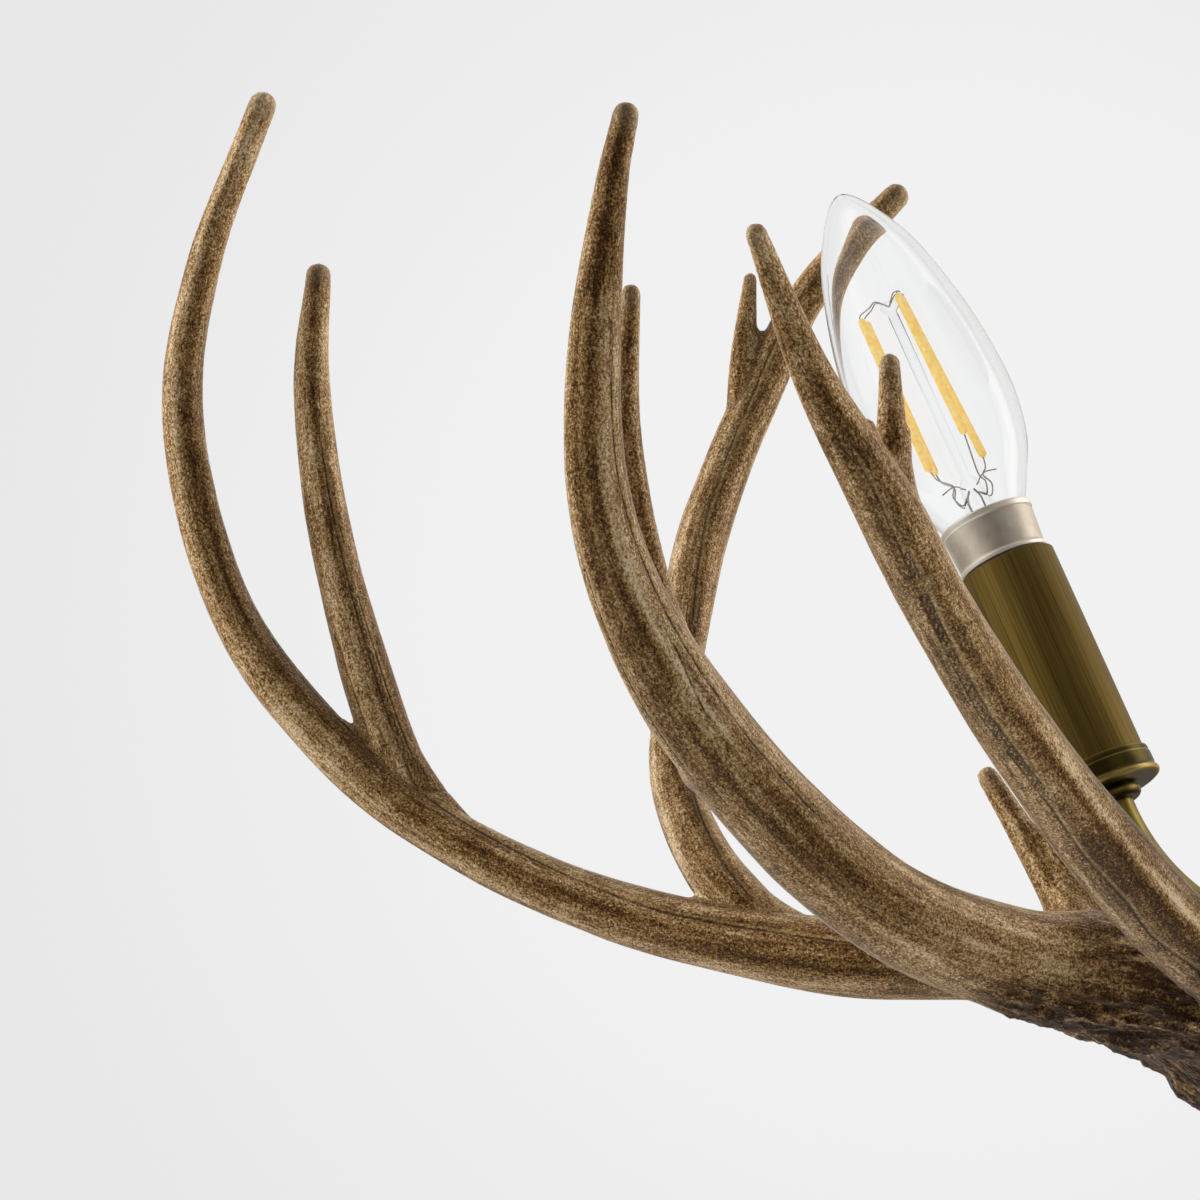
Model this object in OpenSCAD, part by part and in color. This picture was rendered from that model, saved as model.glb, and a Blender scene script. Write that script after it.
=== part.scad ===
// Antler semi-flush ceiling light with four candle lamps.
// Millimetres, +Z up. The origin is on the ceiling, in the middle of the mounting bracket's top face.

/* [Ceiling mount] */
// Width of the steel mounting bracket
bracket_w = 25; // [22:1:30]
// Thickness of the mounting bracket
bracket_t = 2; // [1.5:0.1:3]
// Distance between the two slots for the ceiling box screws
box_pitch = 88.9; // [84:0.1:92]
// Length of each slot, end to end
box_slot_l = 10; // [8:0.5:11]
// Width of each slot
box_slot_w = 5; // [4:0.1:6]
// Steel left beyond the end of each slot
bracket_margin = 3.55; // [3:0.05:5]
// Hole in the middle of the bracket
bracket_bore = 10.5; // [9:0.1:12]
// Outer diameter of the canopy's rim
canopy_d = 126; // [122:1:140]
// Depth of the canopy, ceiling to flat face
canopy_h = 26; // [22:1:34]
// Diameter of the canopy's flat face
canopy_flat_d = 92; // [88:1:100]
// Sheet thickness of the canopy
canopy_t = 1.2; // [0.8:0.1:2]
// Distance between the two canopy studs
stud_pitch = 66; // [60:1:70]
// Diameter of the canopy studs
stud_d = 4; // [3:0.5:5]
// Outer diameter of the knurled cap nuts
cap_nut_d = 12; // [10:0.5:14]
// Height of the knurled cap nuts
cap_nut_h = 10; // [9:0.5:12]

/* [Stem and hub] */
// Ceiling down to the level of the hub's origin, where the antler bases meet
drop = 290; // [280:1:400]
// Outer diameter of the stem
stem_d = 13; // [12:0.5:16]
// Bore of the stem
stem_bore = 9.6; // [8:0.1:10.5]
// Outer diameter of the hub body
hub_d = 52; // [46:1:56]
// Height of the hub body
hub_h = 28; // [26:1:30]
// Wall of the hub body
hub_wall = 3.5; // [2:0.1:5]
// Diameter of the threaded rod under the hub
rod_d = 8; // [6:1:10]
// Diameter of the plate that carries the antlers
plate_d = 150; // [148:1:154]
// Thickness of the antler plate
plate_t = 2.5; // [2:0.1:4]
// Depth of the antler plate's top face below the hub's origin
plate_drop = 20; // [19:0.5:22]
// Diameter of the standoffs under the antlers
standoff_d = 11; // [9:0.5:12]
// Diameter of the antler screws
screw_d = 4; // [3:0.5:5]
// Height of the finial
finial_h = 34; // [28:1:44]

/* [Arms and candles] */
// Direction of the first arm, seen from below the ceiling
first_arm = 164; // [162:1:166]
// Hub axis to the middle of the candle cup
arm_reach = 98; // [96:1:104]
// Height of the arms above the hub's origin
arm_level = 25; // [24:0.5:26]
// Outer diameter of the arm tube
arm_d = 8.5; // [7.5:0.1:9]
// Bore of the arm tube
arm_bore = 6.3; // [5.5:0.1:6.8]
// Bend radius of the arm
arm_bend = 53; // [48:1:56]
// Lean of the candles away from upright
candle_lean = 23.5; // [18:0.5:28]
// Straight end of the arm below the cup
neck_l = 5; // [4:0.5:8]
// Diameter of the ring under the cup
ring_d = 12.7; // [11:0.1:14]
// Height of the ring under the cup
ring_h = 3; // [2:0.1:4]
// Outer diameter of the candle cup
cup_d = 24.6; // [24:0.1:28]
// Height of the candle cup
cup_h = 6.6; // [5:0.1:9]
// Wall of the candle cup
cup_wall = 1; // [0.8:0.1:1.1]
// Outer diameter of the candle sleeve
sleeve_d = 21.9; // [21:0.1:22]
// Wall of the candle sleeve
sleeve_wall = 0.75; // [0.5:0.05:0.9]
// Top of the candle sleeve above the cup's underside
sleeve_top = 55.4; // [50:0.1:70]
// Screw cap diameter of the lamp
lamp_cap_d = 13.8; // [11.8:0.1:14]
// Diameter of the lamp collar at its top
collar_d = 21.4; // [20.5:0.1:22]
// Height of the lamp collar that shows above the sleeve
collar_h = 11.7; // [9:0.1:14]
// Largest diameter of the lamp glass
glass_d = 35.4; // [35:0.1:38]
// Height of the lamp glass above its collar
glass_h = 81.5; // [74:0.5:90]
// Wall of the lamp glass
glass_wall = 0.8; // [0.6:0.1:1]
// Length of the lighting filaments
filament_l = 38; // [30:1:42]

/* [Antlers] */
// Reach of the long antlers from the hub's axis, along X
antler_reach = 300; // [285:1:315]
// Height of the long antlers' tips above the hub's origin
antler_rise = 231; // [222:1:240]
// Thickness of the long and broad antlers at the burr
burr_d = 28; // [26:0.5:28.5]
// Thickness of the antlers across the plane they grow in, as a share of their depth
antler_flat = 0.94; // [0.85:0.01:1]
// Depth of the furrows round the antler burrs
furrow = 0.05; // [0:0.01:0.08]
// Direction from the first broad antler to its neighbour
broad_turn = 63; // [61:1:66]

/* [Hidden] */
$fn = 64;
LIGHTS = 4;
LIGHT_STEP = 360 / LIGHTS;
seat = 0.05;
gap = 0.3;
stem_r = stem_d / 2;
hub_r = hub_d / 2;
rod_r = rod_d / 2;
arm_r = arm_d / 2;
ring_r = ring_d / 2;
cup_r = cup_d / 2;
sleeve_r = sleeve_d / 2;
stud_r = stud_d / 2;
screw_r = screw_d / 2;
standoff_r = standoff_d / 2;

// Heights in the ceiling group, from the ceiling down.
bracket_l = box_pitch + box_slot_l + 2 * bracket_margin;
canopy_face = -canopy_h;
canopy_inside = canopy_face + canopy_t;
ground_d = 3;
ground_offset = 9;
stem_nut_h = 4;
stem_top = canopy_inside + stem_nut_h + 2;
block_size = [20, 16, 10];
block_low = stem_top + 2;
stem_collar_h = 14;
stud_grip = 3.5;

// Heights in the hub, from its origin, which lies drop below the ceiling.
hub_low = arm_level - 15;
hub_high = hub_low + hub_h;
hub_floor = 4;
cap_h = 15;
cap_spigot = 4;
stem_foot = hub_high + 3;
hub_neck = hub_high + cap_h;
rod_nut_h = 6;
rod_high = hub_low + hub_floor + rod_nut_h + 1;
plate_top = -plate_drop;
plate_low = plate_top - plate_t;
rod_grip = 6.25;
spacer_r = 9;

// The arm: a straight run, one bend, and a straight neck along the candle.
bend_start = arm_reach - neck_l * sin(candle_lean) - arm_bend * cos(candle_lean);
cup_level = arm_level + arm_bend * (1 - sin(candle_lean)) + neck_l * cos(candle_lean);
arm_inner_end = hub_r - hub_wall - 3;
arm_tip = 13;
bend_overlap = 1;
bend_step = 0.03;

// Heights along the candle, from the cup's underside.
cup_floor = 1.2;
holder_foot_r = 6;
holder_foot = 9;
holder_r = 9.3;
socket_low = 22;
cap_low = socket_low + gap;
cap_inside = lamp_cap_d / 2 - 1 - seat;
holder_top = sleeve_top - 6;
collar_top = sleeve_top + collar_h;
collar_low = sleeve_top - 3;
collar_lip = 1.2;
glass_grip = 4.5;
lead_r = 2;
main_lead_r = 3;
splice_r = 5.5;

// The lamp's inner parts, above its collar: the glass stem ends in a rod and a knob that hold the filaments.
// Each filament is [x, y, lift] at its lower end, then at its upper end.
press_h = 9;
filament_foot = 14;
knob_h = 53;
rod_glass_r = 1.15;
knob_r = 2.1;
filament_r = 0.95;
lead_wire_r = 0.35;
lead_out = 1.5;
wire_sides = 8;
FILAMENTS = [
    [[-6.1, -1.5, 0], [-3, -1.3, 1.7]], [[-3.3, 2.6, 5.4], [-3, 1.3, 1.7]],
    [[6.2, -1.5, 1.1], [6.4, -1.4, 0]], [[7, 3, 1.1], [7, 2, 0]]
];

// Antler curves, from the hub's origin: [x, y, z, radius], base first.
// The long antler sweeps out low and curls up, with a spike and a forked tine on its back.
LONG_BEAM = [
    [-44, 10, -7, 12.5], [-62, 15, 0, 14], [-84, 24, 15, 12.6], [-111, 36, 26, 9.6],
    [-153, 54, 30, 8], [-200, 73, 42, 6.4], [-240, 88, 62, 6], [-267, 96, 85, 5.8],
    [-289, 103, 117, 5.1], [-300, 106, 160, 4.5], [-295, 104, 196, 3.9], [-282, 98, 231, 2.9]
];
LONG_SPIKE = [
    [-244, 91, 66, 5.6], [-254, 96, 90, 6], [-265, 101, 130, 5.1], [-270, 104, 167, 4.1], [-269, 106, 193, 2.3]
];
LONG_TINE = [
    [-168, 63, 36, 7], [-180, 70, 52, 6.3], [-187, 80, 71, 5.6], [-187, 90, 92, 5.2], [-182, 102, 126, 6],
    [-175, 110, 149, 5.5], [-168, 114, 166, 5.3], [-158, 118, 188, 4.5], [-146, 120, 204, 3.7], [-135, 122, 216, 3]
];
LONG_FORK = [
    [-171, 112, 157, 4.4], [-170, 115, 178, 3.2], [-168, 118, 194, 1.6]
];
// The broad antler is the thickest: its heavy beam rises early, with one spike close behind it and a thorn near the burr.
BROAD_BEAM = [
    [-48, -27, -2, 12.5], [-62, -34, 2, 14], [-82, -43, 8, 14], [-102, -53, 13, 13.2],
    [-120, -62, 15, 11.1], [-144, -79, 21, 9.9], [-165, -95, 35, 9.4], [-184, -112, 55, 8.4],
    [-197, -125, 76, 6.6], [-204, -136, 98, 5.5], [-205, -145, 125, 5.2], [-202, -152, 152, 3.4], [-199, -154, 166, 2.3]
];
BROAD_SPIKE = [
    [-182, -105, 48, 7.5], [-190, -108, 68, 5.6], [-196, -116, 90, 3.9], [-199, -124, 112, 3], [-198, -130, 137, 2]
];
BROAD_THORN = [
    [-104, -46, 16, 9], [-108, -39, 28, 5], [-116, -34, 43, 3.2], [-123, -30, 56, 1.8]
];
// The forked antler sweeps out towards the front, straight and slim, and ends in two prongs.
FORKED_BEAM = [
    [-28, -52, -4, 9.5], [-42, -61, -1, 11], [-61, -73, 4, 10.5], [-85, -89, 13, 8.5],
    [-105, -118, 29, 7.6], [-124, -148, 47, 7], [-140, -174, 66, 6.4], [-151, -191, 83, 6.2],
    [-165, -206, 105, 3.8], [-175, -217, 128, 2]
];
FORKED_PRONG = [
    [-145, -183, 74, 5.2], [-149, -188, 91, 3.9], [-148, -187, 102, 2.9], [-149, -186, 110, 2.2]
];
// Each mould: its upright plane's side direction, the point over its standoff, and how deep the standoff enters it.
LONG_SIDE = [0.34, 0.94, 0];
BROAD_SIDE = [-0.53, 0.85, 0];
FORKED_SIDE = [-0.77, 0.64, 0];
LONG_SEAT = [-62, 15, -9];
BROAD_SEAT = [-59, -32, -8];
FORKED_SEAT = [-36, -57, -8];
// The points above are drawn at one reach, rise and burr, and grow from each antler's seat to the sizes asked for.
drawn_reach = max([for (p = LONG_BEAM) abs(p[0])]);
drawn_rise = max([for (p = LONG_BEAM) p[2]]);
drawn_burr = 2 * max([for (p = LONG_BEAM) p[3]]);
reach_share = (antler_reach + LONG_SEAT[0]) / (drawn_reach + LONG_SEAT[0]);
rise_share = (antler_rise - LONG_SEAT[2]) / (drawn_rise - LONG_SEAT[2]);
girth_share = burr_d / drawn_burr;
BURR_L = 70;
antler_sides = 10;
web_sides = 8;
curve_steps = 2;
screw_grip = 10;

ANTLER_TURNS = [0, 180];
BROAD_TURNS = [0, broad_turn, 180, 180 + broad_turn];
SEATS = concat(
    [for (a = ANTLER_TURNS) [a, LONG_SEAT]],
    [for (a = BROAD_TURNS) [a, BROAD_SEAT]],
    [for (a = ANTLER_TURNS) [a, FORKED_SEAT]]
);

function numbered(name, n) = [for (i = [1:n]) str(name, "_", i)];

BRONZE = "#5a4f24";
DARK_BRONZE = "#45391f";
STEEL = "#a8a8a4";
HORN = "#8a7452";

// Curves: Catmull-Rom through the control points, with straight ends.
function point(P, i) =
    i < 0 ? 2 * P[0] - P[1] : i > len(P) - 1 ? 2 * P[len(P) - 1] - P[len(P) - 2] : P[i];
function blend(a, b, c, d, t) =
    0.5 * (2 * b + (c - a) * t + (2 * a - 5 * b + 4 * c - d) * t * t + (3 * b - a - 3 * c + d) * t * t * t);
function curve(P, n) = concat(
    [for (i = [0:len(P) - 2], k = [0:n - 1])
        blend(point(P, i - 1), P[i], P[i + 1], point(P, i + 2), k / n)],
    [P[len(P) - 1]]
);
function xyz(p) = [p[0], p[1], p[2]];
function unit(v) = v / norm(v);
function mix(a, b, t) = a + (b - a) * t;

// A point of an antler, with or without a radius, grown from the antler's seat.
function grown(p, seat) = [
    seat[0] + (p[0] - seat[0]) * reach_share,
    seat[1] + (p[1] - seat[1]) * reach_share,
    seat[2] + (p[2] - seat[2]) * rise_share,
    each (len(p) > 3 ? [p[3] * girth_share] : [])
];

// A rounded tip: three smaller rings past the last point.
function domed(C) =
    let (n = len(C), last = C[n - 1], dir = unit(xyz(last) - xyz(C[n - 2])), r = last[3])
    concat(C, [for (a = [35, 62, 84]) concat(xyz(last) + dir * r * sin(a), [r * cos(a)])]);

function heading(C, i) =
    unit(xyz(C[min(i + 1, len(C) - 1)]) - xyz(C[max(i - 1, 0)]));

// One ring of the antler's skin, flattened a little, furrowed near the burr.
function skin(C, i, side, burr) =
    let (t = heading(C, i), u = unit(cross(side, t)), v = cross(t, u), c = xyz(C[i]), r = C[i][3],
         rough = burr ? furrow * max(0, 1 - norm(c - xyz(C[0])) / BURR_L) : 0)
    [for (k = [0:antler_sides - 1])
        let (a = 360 * k / antler_sides, w = r * (1 + rough * (k % 2 == 0 ? 1 : -1)))
        c + w * cos(a) * u + w * antler_flat * sin(a) * v];

// A solid swept along control points, flat at its base and rounded at its tip.
module horn(P, seat, side, burr = false) {
    C = domed(curve([for (p = P) grown(p, seat)], curve_steps));
    n = len(C);
    m = antler_sides;
    points = [for (i = [0:n - 1]) each skin(C, i, side, burr)];
    base = [[for (k = [0:m - 1]) k]];
    tip = [[for (k = [0:m - 1]) n * m - 1 - k]];
    wall = [for (i = [0:n - 2], k = [0:m - 1])
        let (a = i * m + k, b = i * m + (k + 1) % m)
        each [[b, a, a + m], [b + m, b, a + m]]];
    polyhedron(points, concat(base, wall, tip));
}

// The thin web in a crotch, drawn as a fan of straight bars between the beam and the tine.
module web(corners, seat, r, bars) {
    root = grown(corners[0], seat);
    up = grown(corners[1], seat);
    along = grown(corners[2], seat);
    for (i = [0:bars - 1]) {
        hull() {
            translate(mix(root, up, (i + 1) / bars)) sphere(r = r * girth_share, $fn = web_sides);
            translate(mix(root, along, 1 - i / bars)) sphere(r = r * girth_share, $fn = web_sides);
        }
    }
}

// Cuts an antler for its standoff and its screw, both upright.
module seat_cut(at) {
    translate([at[0], at[1], at[2] - 30]) cylinder(h = 30, r = standoff_r + gap);
    translate([at[0], at[1], at[2] - 1]) cylinder(h = screw_grip + 2, r = screw_r + seat);
}

module from_hub(turn = 0) {
    translate([0, 0, -drop]) rotate([0, 0, turn]) children();
}

module long_antler(i) {
    color(HORN) from_hub(ANTLER_TURNS[i]) difference() {
        union() {
            horn(LONG_BEAM, LONG_SEAT, LONG_SIDE, true);
            horn(LONG_SPIKE, LONG_SEAT, LONG_SIDE);
            horn(LONG_TINE, LONG_SEAT, LONG_SIDE);
            horn(LONG_FORK, LONG_SEAT, LONG_SIDE);
            web([[-245, 91, 67], [-255, 96, 94], [-228, 84, 55]], LONG_SEAT, 4.2, 3);
            web([[-172, 64, 39], [-181, 71, 55], [-158, 56, 33]], LONG_SEAT, 5, 3);
            web([[-172, 112, 160], [-171, 114, 172], [-166, 114, 172]], LONG_SEAT, 2.6, 2);
        }
        seat_cut(LONG_SEAT);
    }
}

module broad_antler(i) {
    color(HORN) from_hub(BROAD_TURNS[i]) difference() {
        union() {
            horn(BROAD_BEAM, BROAD_SEAT, BROAD_SIDE, true);
            horn(BROAD_SPIKE, BROAD_SEAT, BROAD_SIDE);
            horn(BROAD_THORN, BROAD_SEAT, BROAD_SIDE);
            web([[-184, -109, 60], [-193, -116, 84], [-196, -124, 84]], BROAD_SEAT, 3.6, 3);
            web([[-105, -46, 20], [-109, -39, 30], [-118, -58, 25]], BROAD_SEAT, 3, 3);
        }
        seat_cut(BROAD_SEAT);
    }
}

module forked_antler(i) {
    color(HORN) from_hub(ANTLER_TURNS[i]) difference() {
        union() {
            horn(FORKED_BEAM, FORKED_SEAT, FORKED_SIDE, true);
            horn(FORKED_PRONG, FORKED_SEAT, FORKED_SIDE);
            web([[-148, -186, 80], [-149, -188, 90], [-155, -196, 90]], FORKED_SEAT, 3, 3);
            web([[-146, -184, 75], [-149, -187, 88], [-140, -175, 68]], FORKED_SEAT, 3, 3);
        }
        seat_cut(FORKED_SEAT);
    }
}

// Ceiling group.
module slot(l, w, h) {
    for (s = [-1, 1]) translate([s * (l - w) / 2, 0, 0]) cylinder(h = h, d = w);
    translate([-(l - w) / 2, -w / 2, 0]) cube([l - w, w, h]);
}

module mounting_bracket() {
    color(STEEL) translate([0, 0, -bracket_t]) difference() {
        union() {
            translate([-(bracket_l - bracket_w) / 2, -bracket_w / 2, 0])
                cube([bracket_l - bracket_w, bracket_w, bracket_t]);
            for (s = [-1, 1]) translate([s * (bracket_l - bracket_w) / 2, 0, 0])
                cylinder(h = bracket_t, d = bracket_w);
        }
        translate([0, 0, -1]) cylinder(h = bracket_t + 2, d = bracket_bore);
        for (s = [-1, 1]) {
            translate([s * box_pitch / 2, 0, -1]) slot(box_slot_l, box_slot_w, bracket_t + 2);
            translate([s * stud_pitch / 2, 0, -1]) cylinder(h = bracket_t + 2, r = stud_r + seat);
        }
        translate([0, ground_offset, -1]) cylinder(h = bracket_t + 2, d = ground_d + 2 * seat);
    }
}
module ground_screw() {
    color("#3f8f4a") translate([0, ground_offset, -bracket_t]) {
        translate([0, 0, -2]) cylinder(h = 2, d = 2 * ground_d);
        cylinder(h = bracket_t, d = ground_d);
    }
}

// Each stud stands in the bracket with its flange under it and its end in a cap nut.
module canopy_studs() {
    stud_l = canopy_h + stud_grip;
    color(STEEL) for (s = [-1, 1]) translate([s * stud_pitch / 2, 0, 0]) {
        translate([0, 0, -stud_l]) cylinder(h = stud_l, r = stud_r);
        translate([0, 0, -bracket_t - 1.5]) cylinder(h = 1.5, r = stud_r + 2);
    }
}

// The canopy is a pressed dish: rolled rim, curved side, flat face.
module canopy() {
    rim = canopy_d / 2;
    flat = canopy_flat_d / 2;
    side = [for (a = [0:10:90]) [flat + (rim - flat) * cos(a), canopy_face + canopy_h * (1 - sin(a))]];
    inner = [for (a = [90:-10:0])
        [flat + (rim - flat - canopy_t) * cos(a), canopy_inside + (canopy_h - canopy_t) * (1 - sin(a))]];
    color(DARK_BRONZE) difference() {
        rotate_extrude() polygon(concat(
            [[0, canopy_inside], [0, canopy_face]],
            [for (k = [len(side) - 1:-1:0]) side[k]],
            [for (k = [len(inner) - 1:-1:0]) inner[k]]
        ));
        translate([0, 0, canopy_face - 1]) cylinder(h = canopy_t + 2, r = stem_r + seat);
        for (s = [-1, 1]) translate([s * stud_pitch / 2, 0, canopy_face - 1])
            cylinder(h = canopy_t + 2, r = stud_r + gap);
    }
}

module cap_nut(i) {
    r = cap_nut_d / 2;
    side = i == 0 ? -1 : 1;
    top = canopy_face - gap;
    color(BRONZE) translate([side * stud_pitch / 2, 0, top]) difference() {
        union() {
            translate([0, 0, -cap_nut_h * 0.55]) cylinder(h = cap_nut_h * 0.55, r = r);
            rotate_extrude() polygon([
                [0, -cap_nut_h], [r * 0.35, -cap_nut_h * 0.97], [r * 0.62, -cap_nut_h * 0.85],
                [r * 0.75, -cap_nut_h * 0.55], [0, -cap_nut_h * 0.55]
            ]);
        }
        for (k = [0:23]) rotate([0, 0, 15 * k]) translate([r + 0.25, 0, -cap_nut_h * 0.5])
            cylinder(h = cap_nut_h * 0.4, r = 0.6, $fn = 16);
        translate([0, 0, -stud_grip - 0.6]) cylinder(h = stud_grip + 1.6, r = stud_r + seat);
    }
}

module stem_nut() {
    color(STEEL) translate([0, 0, canopy_inside]) difference() {
        cylinder(h = stem_nut_h, r = stem_r + 4.5, $fn = 6);
        translate([0, 0, -1]) cylinder(h = stem_nut_h + 2, r = stem_r + seat);
    }
}

module terminal_block() {
    color("#e8e4da") translate([-block_size[0] / 2, -block_size[1] / 2, block_low]) difference() {
        cube(block_size);
        for (x = [5, 15]) translate([x, -1, block_size[2] / 2]) rotate([-90, 0, 0])
            cylinder(h = block_size[1] + 2, r = 1.7);
    }
}

module stem_collar() {
    r = stem_r + seat;
    color(DARK_BRONZE) translate([0, 0, canopy_face]) rotate_extrude() polygon([
        [r, 0], [stem_r + 10, 0], [stem_r + 10, -2.5], [stem_r + 8, -4], [stem_r + 5, -6.5],
        [stem_r + 3.5, -10], [stem_r + 3.5, -stem_collar_h], [r, -stem_collar_h]
    ]);
}

module stem() {
    foot = -drop + stem_foot;
    color(BRONZE) translate([0, 0, foot]) difference() {
        cylinder(h = stem_top - foot, r = stem_r);
        translate([0, 0, -1]) cylinder(h = stem_top - foot + 2, d = stem_bore);
    }
}

// Hub group.
module hub_cap() {
    r = stem_r + seat;
    spigot = hub_r - hub_wall - seat;
    color(DARK_BRONZE) from_hub() rotate_extrude() polygon([
        [stem_bore / 2, hub_high - cap_spigot], [spigot, hub_high - cap_spigot], [spigot, hub_high],
        [hub_r, hub_high], [hub_r, hub_high + 2], [hub_r - 3, hub_high + 3.5], [hub_r - 8, hub_high + 5],
        [stem_r + 6, hub_high + 8], [stem_r + 3.5, hub_high + 11], [stem_r + 4.5, hub_neck - 2],
        [stem_r + 4.5, hub_neck - 1], [stem_r + 3.5, hub_neck], [r, hub_neck], [r, stem_foot],
        [stem_bore / 2, stem_foot]
    ]);
}

module hub_body() {
    inner = hub_r - hub_wall;
    color(DARK_BRONZE) from_hub() difference() {
        rotate_extrude() polygon([
            [rod_r + seat, hub_low], [hub_r - 7, hub_low], [hub_r - 2.5, hub_low + 2], [hub_r - 0.8, hub_low + 5],
            [hub_r, hub_low + 8], [hub_r, hub_high - 4], [hub_r - 1, hub_high - 3], [hub_r - 1, hub_high - 2],
            [hub_r, hub_high - 1], [hub_r, hub_high], [inner, hub_high], [inner, hub_low + hub_floor],
            [rod_r + seat, hub_low + hub_floor]
        ]);
        for (i = [0:LIGHTS - 1]) rotate([0, 0, first_arm + LIGHT_STEP * i])
            translate([inner - 2, 0, arm_level]) rotate([0, 90, 0])
                cylinder(h = hub_wall + 4, r = arm_r + seat);
    }
}

module rod_nut() {
    color(STEEL) from_hub() translate([0, 0, hub_low + hub_floor]) difference() {
        cylinder(h = rod_nut_h, r = rod_r + 3.5, $fn = 6);
        translate([0, 0, -1]) cylinder(h = rod_nut_h + 2, r = rod_r + seat);
    }
}

module threaded_rod() {
    low = plate_low - gap - rod_grip;
    color(STEEL) from_hub() translate([0, 0, low]) cylinder(h = rod_high - low, r = rod_r);
}

module spacer() {
    color(BRONZE) from_hub() rotate_extrude() polygon([
        [rod_r + seat, plate_top], [spacer_r + 5, plate_top], [spacer_r + 5, plate_top + 2],
        [spacer_r, plate_top + 6], [spacer_r, hub_low - 5], [spacer_r + 3, hub_low - 2],
        [spacer_r + 3, hub_low], [rod_r + seat, hub_low]
    ]);
}

// The plate has a turned lip, and one standoff with a screw hole under each antler.
module antler_plate() {
    r = plate_d / 2;
    color(DARK_BRONZE) from_hub() difference() {
        union() {
            rotate_extrude() polygon([
                [rod_r + seat, plate_low], [r - 3, plate_low], [r - 1, plate_low + 0.6], [r, plate_low + 2],
                [r, plate_top + 1.6], [r - 1.6, plate_top + 1.6], [r - 2.4, plate_top],
                [rod_r + seat, plate_top]
            ]);
            for (s = SEATS) rotate([0, 0, s[0]]) translate([s[1][0], s[1][1], plate_top])
                cylinder(h = s[1][2] - plate_top, r = standoff_r);
        }
        for (s = SEATS) rotate([0, 0, s[0]]) translate([s[1][0], s[1][1], plate_low - 1])
            cylinder(h = s[1][2] - plate_low + 2, r = screw_r + seat);
    }
}

module antler_screws() {
    head_h = 2.2;
    color(BRONZE) from_hub() for (s = SEATS) rotate([0, 0, s[0]]) translate([s[1][0], s[1][1], plate_low]) {
        cylinder(h = s[1][2] - plate_low + screw_grip, r = screw_r);
        translate([0, 0, -head_h]) cylinder(h = head_h, r = 2 * screw_r);
    }
}

// The finial is a turned nut that closes the stack from below.
module finial() {
    top = plate_low - gap;
    color(BRONZE) from_hub() translate([0, 0, top]) difference() {
        rotate_extrude() polygon(concat(
            [[0, 0], [17, 0], [17, -2], [13, -4.5], [8, -7], [6.5, -9.5], [8, -11.5], [8, -13]],
            [for (a = [50:-10:-70]) [10 * cos(a), -finial_h + 13 + 9 * sin(a)]],
            [[2.6, -finial_h + 3.4], [2.2, -finial_h + 1.2], [0, -finial_h]]
        ));
        translate([0, 0, -rod_grip - 0.8]) cylinder(h = rod_grip + 1.8, r = rod_r + seat);
    }
}

// Arms and candles.
module on_arm(i) {
    from_hub(first_arm + LIGHT_STEP * i) children();
}

module on_candle(i) {
    on_arm(i) translate([arm_reach, 0, cup_level]) rotate([0, candle_lean, 0]) children();
}

// The arm's route as a round bar: run, bend, neck and the end inside the candle.
// The bend is a hair slimmer and runs on a little inside both straight ends, so that they join in one solid.
module arm_route(r, inner, tip) {
    translate([inner, 0, arm_level]) rotate([0, 90, 0]) cylinder(h = bend_start - inner, r = r);
    translate([bend_start, 0, arm_level + arm_bend]) rotate([90, 0, 0]) rotate([0, 0, -90 - bend_overlap])
        rotate_extrude(angle = 90 - candle_lean + 2 * bend_overlap) translate([arm_bend, 0])
            circle(r = r - bend_step);
    translate([arm_reach, 0, cup_level]) rotate([0, candle_lean, 0]) translate([0, 0, -neck_l])
        cylinder(h = neck_l + tip, r = r);
}

module arm(i) {
    color(BRONZE) on_arm(i) difference() {
        arm_route(arm_r, arm_inner_end, arm_tip);
        arm_route(arm_bore / 2, arm_inner_end - 1, arm_tip + 1);
    }
}

module neck_ring(i) {
    bore = arm_r + seat;
    color(DARK_BRONZE) on_candle(i) rotate_extrude() polygon([
        [bore, -ring_h], [ring_r - 1.2, -ring_h], [ring_r - 0.3, -ring_h + 0.6], [ring_r, -ring_h / 2],
        [ring_r - 0.3, -0.6], [ring_r - 1.2, 0], [bore, 0]
    ]);
}

module candle_cup(i) {
    inner = cup_r - cup_wall;
    color(DARK_BRONZE) on_candle(i) rotate_extrude() polygon([
        [arm_r + seat, 0], [cup_r - 0.5, 0], [cup_r, 0.5], [cup_r, 1.2], [cup_r - 0.4, 1.7],
        [cup_r - 0.4, cup_h - 1.2], [cup_r - 0.9, cup_h - 0.2], [cup_r - cup_wall, cup_h],
        [inner, cup_floor], [arm_r + seat, cup_floor]
    ]);
}

module candle_sleeve(i) {
    color(BRONZE) on_candle(i) translate([0, 0, cup_floor]) difference() {
        cylinder(h = sleeve_top - cup_floor, r = sleeve_r);
        translate([0, 0, -1]) cylinder(h = sleeve_top - cup_floor + 2, r = sleeve_r - sleeve_wall);
    }
}

// The holder stands on the cup's floor round the arm's end, with the lamp socket above.
module lamp_holder(i) {
    color("#2a2724") on_candle(i) difference() {
        union() {
            translate([0, 0, cup_floor]) cylinder(h = holder_foot - cup_floor, r = holder_foot_r);
            translate([0, 0, holder_foot]) cylinder(h = holder_top - holder_foot, r = holder_r);
        }
        cylinder(h = arm_tip + 1, r = arm_r + seat);
        cylinder(h = socket_low + 1, r = lead_r + seat);
        translate([0, 0, socket_low]) cylinder(h = holder_top, r = lamp_cap_d / 2 + seat);
    }
}

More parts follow.
